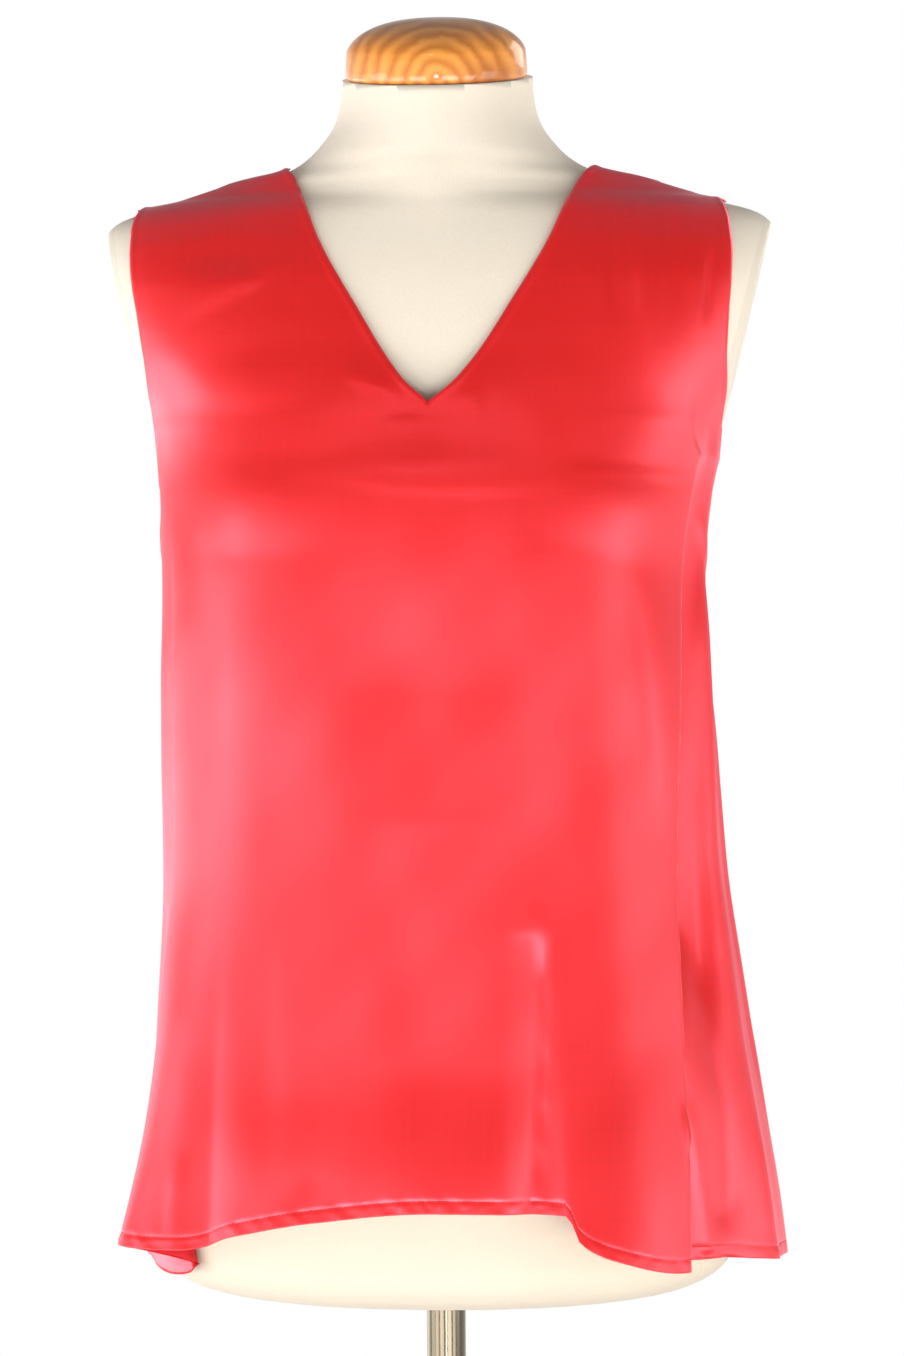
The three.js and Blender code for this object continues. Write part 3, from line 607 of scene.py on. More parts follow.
def bumps_along(at, seed):
    """An uneven, repeatable wave of about -1..1 along a length in millimetres."""
    total = np.zeros(at.shape)
    for k, (long, share) in enumerate(PUCKER_WAVES):
        total += share * np.sin(2 * np.pi * at / long + seed * (k + 1))
    return total / PUCKER_EVEN


def uneven_hang(x, z, facing):
    """Faint long streaks and soft patches of the hanging cloth, in millimetres."""
    across = x if facing < 0 else BACK_HANG_FROM - x
    total = np.zeros(z.shape)
    for wave in HANG_WAVES:
        streak = np.sin(2 * np.pi * (across + wave["slant"] * z) / wave["wide"] + wave["start"])
        patch = np.sin(2 * np.pi * z / wave["high"] + 2 * wave["start"])
        total += wave["size"] * streak * patch
    low, high = HANG_FADE_Z
    return total * (1 - smooth(low, high, z))


def edge_rise(levels, neck_row, from_middle, from_side, from_top):
    """Millimetres that the turned neck and armhole edges and the sewn seams stand out."""
    rows = np.arange(levels.shape[0])[:, None]
    neck = np.where(rows > neck_row, from_middle, NO_EDGE)
    armhole, side_seam = (np.where(here, from_side, NO_EDGE) for here in (levels > 0, levels <= 0))
    edge = np.minimum(neck, armhole)
    seam = np.minimum(side_seam, from_top)
    return sum(ridge(edge, *form) for form in EDGE_FORM) + sum(ridge(seam, *form) for form in SEAM_FORM)


def hem_rise(along, up, seed, strength):
    """Millimetres that the hem puckers, and its stitches sink."""
    pucker = bumps_along(along + PUCKER_SLANT * up, seed) * ridge(up, *HEM_PUCKER)
    return strength * pucker + ridge(up, *STITCH_GROOVE)


def half_panel(panel, right, strength):
    """One half of a panel from its middle to its side seam: points, normals, flat places."""
    shares = column_shares(panel["columns"])
    across = shares if right else -shares
    levels, neck_row = panel_levels(panel, across)
    across = np.broadcast_to(across, levels.shape)
    designed, space, on_seam = panel_points(panel, across, levels, right)
    pushed = clear_of_form(designed, space, on_seam)
    points = designed + spread(pushed - designed, EVEN_TIMES)
    points = clear_of_form(points, np.minimum(space, EVEN_SPACE), on_seam)
    normals = outward(points, right, panel["facing"])
    from_middle, up = arc(points, 1), arc(points, 0)
    from_side, from_top = from_middle[:, -1:] - from_middle, up[-1:] - up
    sign = 1 if right else -1
    hang = uneven_hang(points[..., 0], points[..., 2], panel["facing"])
    hang = hang * smooth(0, HANG_SEAM_FADE, from_side)
    rise = strength * (crease_shift(panel["creases"], points, normals) + hang)
    rise += edge_rise(levels, neck_row, from_middle, from_side, from_top)
    rise += hem_rise(sign * from_middle, up, panel["seed"], strength)
    shift = normals * rise[..., None]
    shift[..., 1] = np.where(on_seam, 0, shift[..., 1])
    points = clear_of_form(points + shift, np.full(levels.shape, CLOTH), on_seam)
    underarm_row = len(HEM_ROWS) + panel["rows_below"] - 1
    flat_u = sign * (from_middle + np.abs(points[:, :1, 0]))
    flat_v = up - up[underarm_row]
    return {
        "points": points, "normals": outward(points, right, panel["facing"]),
        "flat": np.stack([flat_u, flat_v], -1), "neck_row": neck_row, "right": right,
    }


SIDE_CREASES = {"left": LEFT_FLANK_CREASES, "right": RIGHT_FLANK_CREASES}

# flat_size is the sewn panel laid out, across its hem and down its longest run, in metres;
# flat_area is in square metres.
PANELS = {
    "front": {
        "facing": -1, "neck": FRONT_NECK, "hem": FRONT_HEM, "folds": FRONT_FOLDS,
        "creases": {"front": FRONT_CREASES, **SIDE_CREASES}, "seed": 1.7,
        "columns": 80, "rows_below": 138, "rows_under": 16, "rows_over": 56,
        "flat_size": (0.693, 0.778), "flat_area": 0.321,
    },
    "back": {
        "facing": 1, "neck": BACK_NECK, "hem": BACK_HEM, "folds": BACK_FOLDS,
        "creases": {"back": BACK_CREASES, **SIDE_CREASES}, "seed": 3.1,
        "columns": 74, "rows_below": 138, "rows_under": 48, "rows_over": 22,
        "flat_size": (0.597, 0.824), "flat_area": 0.335,
    },
}


def both_halves(panel, strength):
    """Both halves of a panel, with their shared middle line evened between them."""
    left, right = (half_panel(panel, side, strength) for side in (False, True))
    row = left["neck_row"] + 1
    for key in ("points", "normals"):
        middle = (left[key][:row, 0] + right[key][:row, 0]) / 2
        left[key][:row, 0] = middle
        right[key][:row, 0] = middle
    return left, right


def cloth_bmesh(halves, facing, rows, sink):
    """Both halves of a panel as one sheet, `sink` millimetres under the outer face."""
    bm = bmesh.new()
    flat_layer = bm.loops.layers.uv.new("cloth")
    middle_verts = []
    for half in halves:
        points = (half["points"] - half["normals"] * sink)[rows]
        flat = half["flat"][rows]
        reverse = half["right"] != (facing < 0)
        if reverse:
            points, flat = points[:, ::-1], flat[:, ::-1]
        high, wide = points.shape[:2]
        made = bmesh.ops.create_grid(bm, x_segments=wide - 1, y_segments=high - 1, size=1)
        flat_of = {}
        for k, vert in enumerate(made["verts"]):
            vert.co = Vector(points[k // wide, k % wide]) * MM
            flat_of[vert] = flat[k // wide, k % wide] * MM
        for face in {f for v in made["verts"] for f in v.link_faces}:
            for loop in face.loops:
                loop[flat_layer].uv = flat_of[loop.vert]
        first = wide - 1 if reverse else 0
        shared = min(high, half["neck_row"] + 1)
        middle_verts += [made["verts"][j * wide + first] for j in range(shared)]
    bmesh.ops.remove_doubles(bm, verts=middle_verts, dist=1e-5)
    return bm


def thicken(piece, thickness, inner_material):
    """A cloth wall inward from the sheet, with its wrong side in its own material."""
    shell = piece.modifiers.new("cloth thickness", "SOLIDIFY")
    shell.thickness = thickness
    shell.offset = -1
    shell.use_quality_normals = True
    shell.material_offset = inner_material


def stitch_run(name, halves, pitch, material):
    """A row of small thread stitches along the hem, each a few faces."""
    left, right = halves
    line, face = (np.concatenate([left[key][STITCH_ROW, ::-1], right[key][STITCH_ROW, 1:]])
                  for key in ("points", "normals"))
    along = np.concatenate([[0], np.cumsum(np.linalg.norm(np.diff(line, axis=0), axis=1))])

    def at(distance, values):
        return Vector([np.interp(distance, along, values[:, c]) for c in range(3)])

    bm = bmesh.new()
    size = Matrix.Diagonal((STITCH_LONG * pitch, STITCH_WIDE, STITCH_HIGH, 1))
    for k in range(1, int(along[-1] / pitch)):
        centre = at(k * pitch, line)
        out = at(k * pitch, face).normalized()
        run = (at(k * pitch + 1, line) - centre).normalized()
        side = out.cross(run).normalized()
        turn = Matrix((run, side, out)).transposed().to_4x4()
        place = Matrix.Translation((centre + out * STITCH_OUT) * MM) @ turn @ size @ Matrix.Scale(MM, 4)
        bmesh.ops.create_icosphere(bm, subdivisions=1, radius=1, matrix=place)
    finish_mesh(bm, name, [material])


# ---------------------------------------------------------------- node helpers
class Nodes:
    """Adds and links nodes in one tree."""

    def __init__(self, tree):
        self.tree = tree

    def feed(self, node, inputs):
        """Links each input that is given a socket, and sets each that is given a value."""
        for key, value in inputs.items():
            socket = node.inputs[key]
            if isinstance(value, bpy.types.NodeSocket):
                self.tree.links.new(value, socket)
            else:
                socket.default_value = value
        return node

    def add(self, kind, inputs=None, **settings):
        node = self.tree.nodes.new(kind)
        for key, value in settings.items():
            setattr(node, key, value)
        return self.feed(node, inputs or {})

    def group(self, tree, **inputs):
        return self.add("ShaderNodeGroup", inputs, node_tree=tree).outputs

    def object_place(self):
        return self.add("ShaderNodeTexCoord").outputs["Object"]

    def ramp(self, value, *stops):
        node = self.add("ShaderNodeValToRGB", {"Fac": value})
        ends = node.color_ramp.elements
        while len(ends) < len(stops):
            ends.new(0.5)
        for element, (at, colour) in zip(ends, stops):
            element.position = at
            element.color = (*colour, 1)
        return node.outputs["Color"]

    def math(self, operation, a, b=0.0):
        return self.add("ShaderNodeMath", {0: a, 1: b}, operation=operation).outputs[0]

    def vector(self, operation, a, b):
        return self.add("ShaderNodeVectorMath", {0: a, 1: b}, operation=operation).outputs[0]

    def blend(self, a, share_a, b, share_b):
        return self.math("ADD", self.math("MULTIPLY", a, share_a), self.math("MULTIPLY", b, share_b))

    def span(self, value, low, high, start=0.0):
        inputs = {"Value": value, "From Min": start, "To Min": low, "To Max": high}
        return self.add("ShaderNodeMapRange", inputs).outputs["Result"]

    def noise(self, place, detail, scale=1.0, stretch=None):
        """A noise value over a place, which may be stretched by its own amount along each axis."""
        if stretch is not None:
            place = self.vector("MULTIPLY", place, stretch)
        inputs = {"Vector": place, "Scale": scale, "Detail": detail}
        return self.add("ShaderNodeTexNoise", inputs).outputs["Fac"]

    def bump(self, height, strength, depth):
        inputs = {"Strength": strength, "Distance": depth, "Height": height}
        return self.add("ShaderNodeBump", inputs).outputs["Normal"]


def new_group(name, places, values):
    """An empty node group with vector inputs and value outputs of these names."""
    tree = bpy.data.node_groups.new(name, "ShaderNodeTree")
    for socket in places:
        tree.interface.new_socket(socket, in_out="INPUT", socket_type="NodeSocketVector")
    for socket in values:
        tree.interface.new_socket(socket, in_out="OUTPUT", socket_type="NodeSocketFloat")
    nodes = Nodes(tree)
    return nodes, nodes.add("NodeGroupInput").outputs, nodes.add("NodeGroupOutput")


def weave_group():
    """Fine warp and weft threads with the odd thicker one, over a place on the cloth."""
    if "cloth weave" in bpy.data.node_groups:
        return bpy.data.node_groups["cloth weave"]
    nodes, given, out = new_group("cloth weave", ["Place"], ["Height", "Streaks", "Clouds"])
    place = given["Place"]
    warp, weft = (nodes.noise(place, 2, stretch=s) for s in ((2600, 170, 1), (150, 2200, 1)))
    thick_warp, thick_weft = (nodes.noise(place, 3, stretch=s) for s in ((420, 9, 1), (7, 380, 1)))
    nodes.feed(out, {
        "Height": nodes.math("ADD", warp, weft),
        "Streaks": nodes.math("MULTIPLY", nodes.math("ADD", thick_warp, thick_weft), 0.5),
        "Clouds": nodes.noise(place, 2, 9.0),
    })
    return nodes.tree


def brushed_group():
    """Fine scratches along one direction of a metal piece."""
    if "brushed metal" in bpy.data.node_groups:
        return bpy.data.node_groups["brushed metal"]
    nodes, given, out = new_group("brushed metal", ["Place", "Stretch"], ["Scratches", "Smudges"])
    nodes.feed(out, {
        "Scratches": nodes.noise(given["Place"], 4, stretch=given["Stretch"]),
        "Smudges": nodes.noise(given["Place"], 3, 14.0),
    })
    return nodes.tree


def tinted(colour, factor):
    return tuple(min(1.0, c * factor) for c in colour)


def start_material(name, colour, roughness):
    """A Principled material, and its node helper and shader when it is new."""
    if name in bpy.data.materials:
        return bpy.data.materials[name], None, None
    material = bpy.data.materials.new(name)
    material.use_nodes = True
    nodes = Nodes(material.node_tree)
    shader = material.node_tree.nodes["Principled BSDF"]
    nodes.feed(shader, {"Base Color": (*colour, 1), "Roughness": roughness})
    material.diffuse_color = (*colour, 1)
    return material, nodes, shader


def satin_material(name, colour, roughness, gleam, relief):
    """Satin: vertical warp floats that gleam, faint slubs and clouds of tone."""
    material, nodes, shader = start_material(name, colour, roughness)
    if nodes is None:
        return material
    place = nodes.add("ShaderNodeUVMap", uv_map="cloth").outputs["UV"]
    weave = nodes.group(weave_group(), Place=place)
    tone = nodes.blend(weave["Streaks"], 0.65, weave["Clouds"], 0.35)
    tangent = nodes.add("ShaderNodeTangent", direction_type="UV_MAP", uv_map="cloth")
    nodes.feed(shader, {
        "Base Color": nodes.ramp(tone, (0.3, tinted(colour, 0.94)), (0.7, tinted(colour, 1.05))),
        "Roughness": nodes.span(weave["Streaks"], roughness - 0.025, roughness + 0.03),
        "Normal": nodes.bump(weave["Height"], relief, 0.00012),
        "Tangent": tangent.outputs["Tangent"],
        "IOR": 1.6,
        "Specular IOR Level": gleam,
        "Specular Tint": (1.0, 0.7, 1.0, 1),
        "Metallic": 0.25,
        "Anisotropic": 0.75,
        "Sheen Weight": 0.05,
        "Sheen Roughness": 0.35,
        "Sheen Tint": (1.0, 0.55, 0.72, 1),
    })
    return material


def thread_material(colour):
    """Sewing thread with a fine twist."""
    material, nodes, shader = start_material("sewing thread", colour, 0.45)
    if nodes is None:
        return material
    twist = nodes.noise(nodes.object_place(), 1, 3500.0)
    shade = nodes.ramp(twist, (0.35, tinted(colour, 0.8)), (0.65, tinted(colour, 1.15)))
    nodes.feed(shader, {"Base Color": shade})
    return material


def knit_material(name, colour, wear):
    """Cream stretch cover: a fine knit, faintly uneven, with painted shade deepening its tone low down.
    """
    material, nodes, shader = start_material(name, colour, 0.86)
    if nodes is None:
        return material
    place = nodes.object_place()
    clouds = nodes.noise(place, 4, 7.0)
    ribs = nodes.noise(place, 2, stretch=(900, 900, 420))
    tone = nodes.blend(clouds, 0.7, ribs, 0.3)
    shade = nodes.ramp(tone, (0.3, tinted(colour, 1 - wear)), (0.65, tinted(colour, 1.03)))
    # Painted shade: the cover's colour is darkened toward the form's bottom, where less light falls.
    height = nodes.add("ShaderNodeSeparateXYZ", {"Vector": place}).outputs["Z"]
    height = nodes.span(height, 0, 1, start=LOW_SHADE_Z)
    painted_low_shade = nodes.ramp(height, (0.0, (0.84, 0.81, 0.78)), (0.7, (1, 1, 1)))
    shaded_low_cover = nodes.add("ShaderNodeMix", {
        "Factor": 1.0, "A": shade, "B": painted_low_shade,
    }, data_type="RGBA", blend_type="MULTIPLY")
    nodes.feed(shader, {
        "Base Color": shaded_low_cover.outputs["Result"],
        "Roughness": nodes.span(clouds, 0.8, 0.92),
        "Normal": nodes.bump(ribs, 0.35, 0.0003),
        "Sheen Weight": 0.12,
        "Sheen Roughness": 0.6,
    })
    return material


def wood_material(light, dark, gloss):
    """Varnished pine: growth rings arched round a heart below the front, fine pores."""
    material, nodes, shader = start_material("varnished wood", light, 0.3)
    if nodes is None:
        return material
    centred = nodes.add("ShaderNodeMapping", {
        "Vector": nodes.object_place(), "Location": (-0.005, 0.0, -1.451),
    }).outputs["Vector"]
    wander = nodes.add("ShaderNodeTexNoise", {"Vector": centred, "Scale": 22.0, "Detail": 2})
    bend = nodes.vector("SUBTRACT", wander.outputs["Color"], (0.5, 0.5, 0.5))
    bent = nodes.vector("ADD", centred, nodes.vector("MULTIPLY", bend, (0.012, 0.012, 0.012)))
    rings = nodes.add("ShaderNodeTexWave", {
        "Vector": bent, "Scale": 34.0, "Distortion": 2.4, "Detail": 2.0, "Detail Scale": 2.0,
    }, wave_type="RINGS", rings_direction="Y", wave_profile="SIN").outputs["Fac"]
    pores = nodes.noise(bent, 2, stretch=(1500, 60, 1500))
    middle = tuple((a + b) / 2 for a, b in zip(light, dark))
    shade = nodes.ramp(nodes.blend(rings, 0.5, pores, 0.35),
                       (0.12, light), (0.55, middle), (0.9, dark), (0.98, tinted(light, 0.9)))
    heart = nodes.add("ShaderNodeMapping", {
        "Vector": bent, "Location": (-1.5, 0.0, -0.3), "Scale": (45.0, 3.0, 60.0),
    }).outputs["Vector"]
    knot = nodes.add("ShaderNodeTexGradient", {"Vector": heart}, gradient_type="SPHERICAL")
    knot = nodes.span(knot.outputs["Fac"], 0.03, 0.95)
    burnt = nodes.add("ShaderNodeMix", {
        "Factor": knot, "A": shade, "B": (*tinted(dark, 0.75), 1),
    }, data_type="RGBA", blend_type="MIX")
    nodes.feed(shader, {
        "Base Color": burnt.outputs["Result"],
        "Normal": nodes.bump(pores, 0.06, 0.0003),
        "Coat Weight": gloss,
        "Coat Roughness": 0.06,
        "Specular IOR Level": 0.2,
    })
    return material


def steel_material(name, colour, roughness, stretch, depth):
    """Bare steel with fine scratches, stretched along the way it was worked."""
    material, nodes, shader = start_material(name, colour, roughness)
    if nodes is None:
        return material
    brushed = nodes.group(brushed_group(), Place=nodes.object_place(), Stretch=stretch)
    shade = nodes.ramp(brushed["Smudges"], (0.35, tinted(colour, 0.86)), (0.65, tinted(colour, 1.06)))
    nodes.feed(shader, {
        "Base Color": shade,
        "Roughness": nodes.span(brushed["Scratches"], roughness - 0.07, roughness + 0.12),
        "Normal": nodes.bump(brushed["Scratches"], 0.2, depth),
        "Metallic": 1.0,
    })
    return material


# ---------------------------------------------------------------- settings
def colour_setting(name, description, default):
    return bpy.props.FloatVectorProperty(name=name, description=description, default=default,
                                         size=3, min=0, max=1, subtype="COLOR")


class BlouseSettings(bpy.types.PropertyGroup):
    cloth_thickness: bpy.props.FloatProperty(
        name="Cloth thickness", description="Thickness of the satin with its facing",
        default=0.0009, min=0.0003, max=0.003, subtype="DISTANCE", unit="LENGTH")
    hem_thickness: bpy.props.FloatProperty(
        name="Hem layer", description="Thickness of the turned-up hem layer",
        default=0.0007, min=0.0003, max=0.002, subtype="DISTANCE", unit="LENGTH")
    crease_strength: bpy.props.FloatProperty(
        name="Crease strength", description="How deep the hand-laid creases are",
        default=1.0, min=0.0, max=2.0)
    stitch_pitch: bpy.props.FloatProperty(
        name="Stitch pitch", description="Length of one hem stitch and its gap",
        default=0.003, min=0.0015, max=0.006, subtype="DISTANCE", unit="LENGTH")
    satin_colour: colour_setting(
        "Satin", "Colour of the satin's right side", (0.88, 0.013, 0.006))
    inside_colour: colour_setting(
        "Wrong side", "Colour of the satin's wrong side", (0.6, 0.011, 0.01))
    thread_colour: colour_setting(
        "Thread", "Colour of the hem thread", (0.6, 0.012, 0.02))


class FormSettings(bpy.types.PropertyGroup):
    cover_colour: colour_setting(
        "Form cover", "Colour of the stretch cover", (0.86, 0.765, 0.63))
    wood_light: colour_setting(
        "Early wood", "Lighter colour of the neck cap's wood", (0.95, 0.38, 0.075))
    wood_dark: colour_setting(
        "Late wood", "Darker colour of the neck cap's wood", (0.5, 0.13, 0.016))
    varnish: bpy.props.FloatProperty(
        name="Varnish", description="Strength of the clear varnish coat",
        default=0.6, min=0.0, max=1.0, subtype="FACTOR")
    steel_colour: colour_setting(
        "Steel", "Colour of the pole and base", (0.11, 0.092, 0.066))


class StudioSettings(bpy.types.PropertyGroup):
    key: bpy.props.FloatProperty(
        name="Softboxes", description="Strength of all the softboxes together",
        default=1.0, min=0.0, max=4.0, subtype="FACTOR")
    surround: bpy.props.FloatProperty(
        name="Surround", description="Brightness of the pale walls",
        default=1.0, min=0.0, max=3.0)


# ---------------------------------------------------------------- operators
class BlouseOperator:
    """What the operators share."""

    bl_options = {"REGISTER", "UNDO"}


PANEL_SHAPES = {}


def panel_shape(key, strength):
    """A panel's halves, worked out once and used for its cloth, hem and stitches."""
    if (key, strength) not in PANEL_SHAPES:
        PANEL_SHAPES[key, strength] = both_halves(PANELS[key], strength)
    return PANEL_SHAPES[key, strength]


def satin_sides(look):
    """The satin's right side and wrong side."""
    right = satin_material("red satin", look.satin_colour, 0.35, 1.0, 0.2)
    wrong = satin_material("red satin wrong side", look.inside_colour, 0.62, 0.3, 0.5)
    return right, wrong


def build_panel(look, key):
    panel = PANELS[key]
    bm = cloth_bmesh(panel_shape(key, look.crease_strength), panel["facing"], slice(None), 0)
    piece = finish_mesh(bm, f"blouse_{key}_satin", satin_sides(look))
    thicken(piece, look.cloth_thickness, 1)
    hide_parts(f"blouse_{key}")


def build_hem(look, key):
    halves = panel_shape(key, look.crease_strength)
    sink = look.cloth_thickness / MM + HEM_CLEAR
    bm = cloth_bmesh(halves, PANELS[key]["facing"], slice(1, STITCH_ROW + 2), sink)
    piece = finish_mesh(bm, f"{key}_hem_turned", [satin_sides(look)[1]])
    thicken(piece, look.hem_thickness, 0)
    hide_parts(f"{key}_hem")
    thread = thread_material(look.thread_colour)
    stitch_run(f"{key}_hem_stitches", halves, look.stitch_pitch / MM, thread)


class BLOUSE_OT_hems(BlouseOperator, bpy.types.Operator):
    """Turned-up hem layers of the front and back, with their stitches"""

    bl_idname = "blouse.hems"
    bl_label = "Hems and Stitches"

    def execute(self, context):
        for key in PANELS:
            build_hem(context.scene.blouse, key)
        return {"FINISHED"}


class BLOUSE_OT_front(BlouseOperator, bpy.types.Operator):
    """Front panel of the blouse, hanging from the shoulders"""

    bl_idname = "blouse.front"
    bl_label = "Front Panel"

    def execute(self, context):
        build_panel(context.scene.blouse, "front")
        return {"FINISHED"}


class BLOUSE_OT_back(BlouseOperator, bpy.types.Operator):
    """Back panel of the blouse, hanging from the shoulder blades"""

    bl_idname = "blouse.back"
    bl_label = "Back Panel"

    def execute(self, context):
        build_panel(context.scene.blouse, "back")
        return {"FINISHED"}


def form_heights():
    """Row heights: every few millimetres, closer where the form rounds under and over."""
    knots = FORM_SECTIONS["z"]
    heights = [knots[0]]
    for low, high in zip(knots, knots[1:]):
        count = max(3, round((high - low) / FORM_HEIGHT_STEP))
        heights += list(np.linspace(low, high, count + 1)[1:])
    return np.array(heights)


def form_bmesh():
    """The whole form before its neck, arms and pole hole are cut, in millimetres."""
    heights = form_heights()
    bm = bmesh.new()
    made = bmesh.ops.create_grid(bm, x_segments=FORM_STEPS, y_segments=len(heights) - 1, size=1)
    wide = FORM_STEPS + 1
    k = np.arange(len(made["verts"]))
    places = form_points(2 * np.pi * (k % wide) / FORM_STEPS, heights[k // wide])
    for vert, place in zip(made["verts"], places):
        vert.co = place
    bmesh.ops.remove_doubles(bm, verts=bm.verts, dist=1e-4)
    inner = [v for v in bm.verts if not v.is_boundary]
    for _ in range(3):
        bmesh.ops.smooth_vert(bm, verts=inner, factor=0.5, use_axis_x=True, use_axis_y=True,
                              use_axis_z=True)
    bmesh.ops.recalc_face_normals(bm, faces=bm.faces)
    return bm


def cut(bm, point, normal, above=0):
    """Takes away what lies beyond a plane, over a height, and closes the cut with one face."""
    geom = [g for g in bm.verts if g.co.z > above]
    geom += [g for part in (bm.edges, bm.faces) for g in part if min(v.co.z for v in g.verts) > above]
    made = bmesh.ops.bisect_plane(bm, geom=geom, plane_co=point, plane_no=normal,
                                  clear_outer=True, dist=1e-4)
    edges = [g for g in made["geom_cut"] if isinstance(g, bmesh.types.BMEdge)]
    bmesh.ops.contextual_create(bm, geom=edges)
    return edges


def arm_plane(sign, beyond):
    """A point and the outward direction of an arm's slanted end, `beyond` it in millimetres."""
    out = Vector((sign * math.cos(ARM_SLANT), 0, -math.sin(ARM_SLANT)))
    return Vector((sign * ARM_END[0], 0, ARM_END[1])) + out * beyond, out


def round_edge(bm, edges, width, segments):
    bmesh.ops.bevel(bm, geom=edges, offset=width, offset_type="OFFSET", segments=segments,
                    profile=0.5, affect="EDGES", clamp_overlap=True, material=-1)


def crisp(edges):
    """Keeps two flat faces from being shaded as one round one over these edges."""
    for edge in edges:
        edge.smooth = False


def in_metres(bm):
    bmesh.ops.scale(bm, vec=(MM, MM, MM), verts=bm.verts)
    return bm


def extruded(bm, edges):
    """The points and the free edges of a new ring of faces along these edges."""
    made = bmesh.ops.extrude_edge_only(bm, edges=edges)["geom"]
    verts = [g for g in made if isinstance(g, bmesh.types.BMVert)]
    return verts, [g for g in made if isinstance(g, bmesh.types.BMEdge) and g.is_boundary]


def body_bmesh():
    """The form's body: neck and arm ends cut flat, and a hole up into it for the pole."""
    bm = form_bmesh()
    low = [e for e in bm.edges if e.is_boundary and e.verts[0].co.z < FORM_LOW_Z]
    ring, edges = extruded(bm, low)
    for vert in ring:
        flat = Vector((vert.co.x, vert.co.y, 0)).normalized() * BORE_RADIUS
        vert.co = (flat.x, flat.y, vert.co.z)
    ring = extruded(bm, edges)[0]
    bmesh.ops.translate(bm, verts=ring, vec=(0, 0, BORE_DEEP))
    cut(bm, NECK_TOP, Vector((0, -math.sin(NECK_TILT), math.cos(NECK_TILT))))
    for sign in (1, -1):
        crisp(cut(bm, *arm_plane(sign, -ARM_PLATE - PLATE_GAP), above=ARM_LOW_Z))
    bmesh.ops.recalc_face_normals(bm, faces=bm.faces)
    return bm


def plate_bmesh(sign):
    """An arm's end plate: the slice of the form's own shape beyond the body, rim rounded."""
    bm = form_bmesh()
    point, out = arm_plane(sign, -ARM_PLATE)
    cut(bm, Vector((0, 0, ARM_LOW_Z)), Vector((0, 0, -1)))
    cut(bm, *arm_plane(sign, 0))
    cut(bm, point, -out)
    bmesh.ops.remove_doubles(bm, verts=bm.verts, dist=SLIVER)
    bmesh.ops.recalc_face_normals(bm, faces=bm.faces)

    def largest(way):
        return max((f for f in bm.faces if f.normal.dot(way) > 0.99), key=lambda f: f.calc_area())

    crisp(largest(-out).edges)
    round_edge(bm, largest(out).edges[:], PLATE_ROUND, 3)
    return bm


class BLOUSE_OT_form(BlouseOperator, bpy.types.Operator):
    """Dress form body in its stretch cover, and the covered plates at its arm ends"""

    bl_idname = "blouse.form"
    bl_label = "Dress Form"

    def execute(self, context):
        colour = context.scene.blouse_form.cover_colour
        cover = knit_material("form cover", colour, 0.07)
        body = finish_mesh(in_metres(body_bmesh()), "form_cover", [cover])
        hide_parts("form_torso")
        plate_cover = knit_material("arm plate cover", tinted(colour, 0.93), 0.1)
        for side, sign in (("left", 1), ("right", -1)):
            bm = in_metres(plate_bmesh(sign))
            plate = finish_mesh(bm, f"arm_plate_cover_{side}", [plate_cover])
            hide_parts(f"arm_plate_{side}")
        return {"FINISHED"}


def turned(profile, steps):
    """A turned solid in millimetres from a profile of (radius, z), on the axis at both ends."""
    bm = bmesh.new()
    verts = [bm.verts.new((r, 0, z)) for r, z in profile]
    edges = [bm.edges.new(pair) for pair in zip(verts, verts[1:])]
    bmesh.ops.spin(bm, geom=verts + edges, cent=(0, 0, 0), axis=(0, 0, 1), dvec=(0, 0, 0),
                   angle=2 * math.pi, steps=steps, use_merge=True, use_duplicate=False)
    bmesh.ops.remove_doubles(bm, verts=bm.verts, dist=1e-4)
    bmesh.ops.recalc_face_normals(bm, faces=bm.faces)
    return bm


def flat_shading_kept(piece):
    """Shades a turned piece by its long faces, so its small rounded edges don't tilt them."""
    piece.modifiers.new("face weighted normals", "WEIGHTED_NORMAL")


def cap_profile():
    """The neck cap: a flat underside, a short upright edge and a rounded top."""
    points = [(0, 0), (CAP_RADIUS - 2.4, 0), (CAP_RADIUS - 1.3, 0.35), (CAP_RADIUS - 0.5, 1.2)]
    for k in range(CAP_STEPS):
        turn = k / CAP_STEPS * math.pi / 2
        edge = CAP_LOW + (CAP_EDGE - CAP_LOW) * min(1, k / 3)
        z = edge + (CAP_HEIGHT - CAP_EDGE) * math.sin(turn)
        points.append((CAP_RADIUS * math.cos(turn) ** CAP_POWER, z))
    return points + [(0, CAP_HEIGHT)]


class BLOUSE_OT_cap(BlouseOperator, bpy.types.Operator):
    """Turned and varnished wood cap on the form's neck"""

    bl_idname = "blouse.cap"
    bl_label = "Neck Cap"

    def execute(self, context):
        look = context.scene.blouse_form
        bm = turned(cap_profile(), 128)
        place = Matrix.Translation(NECK_TOP) @ Matrix.Rotation(NECK_TILT, 4, "X")
        place = Matrix.Scale(MM, 4) @ place @ Matrix.Translation((0, 0, CAP_GAP))
        bmesh.ops.transform(bm, matrix=place, verts=bm.verts)
        wood = wood_material(look.wood_light, look.wood_dark, look.varnish)
        cap = finish_mesh(bm, "neck_cap_wood", [wood])
        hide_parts("neck_cap")
        return {"FINISHED"}


def pole_bmesh():
    low, high = POLE_Z
    r, soft = POLE_RADIUS, 1
    return turned([
        (0, low), (r - soft, low), (r, low + soft), (r, high - soft), (r - soft, high), (0, high),
    ], 96)


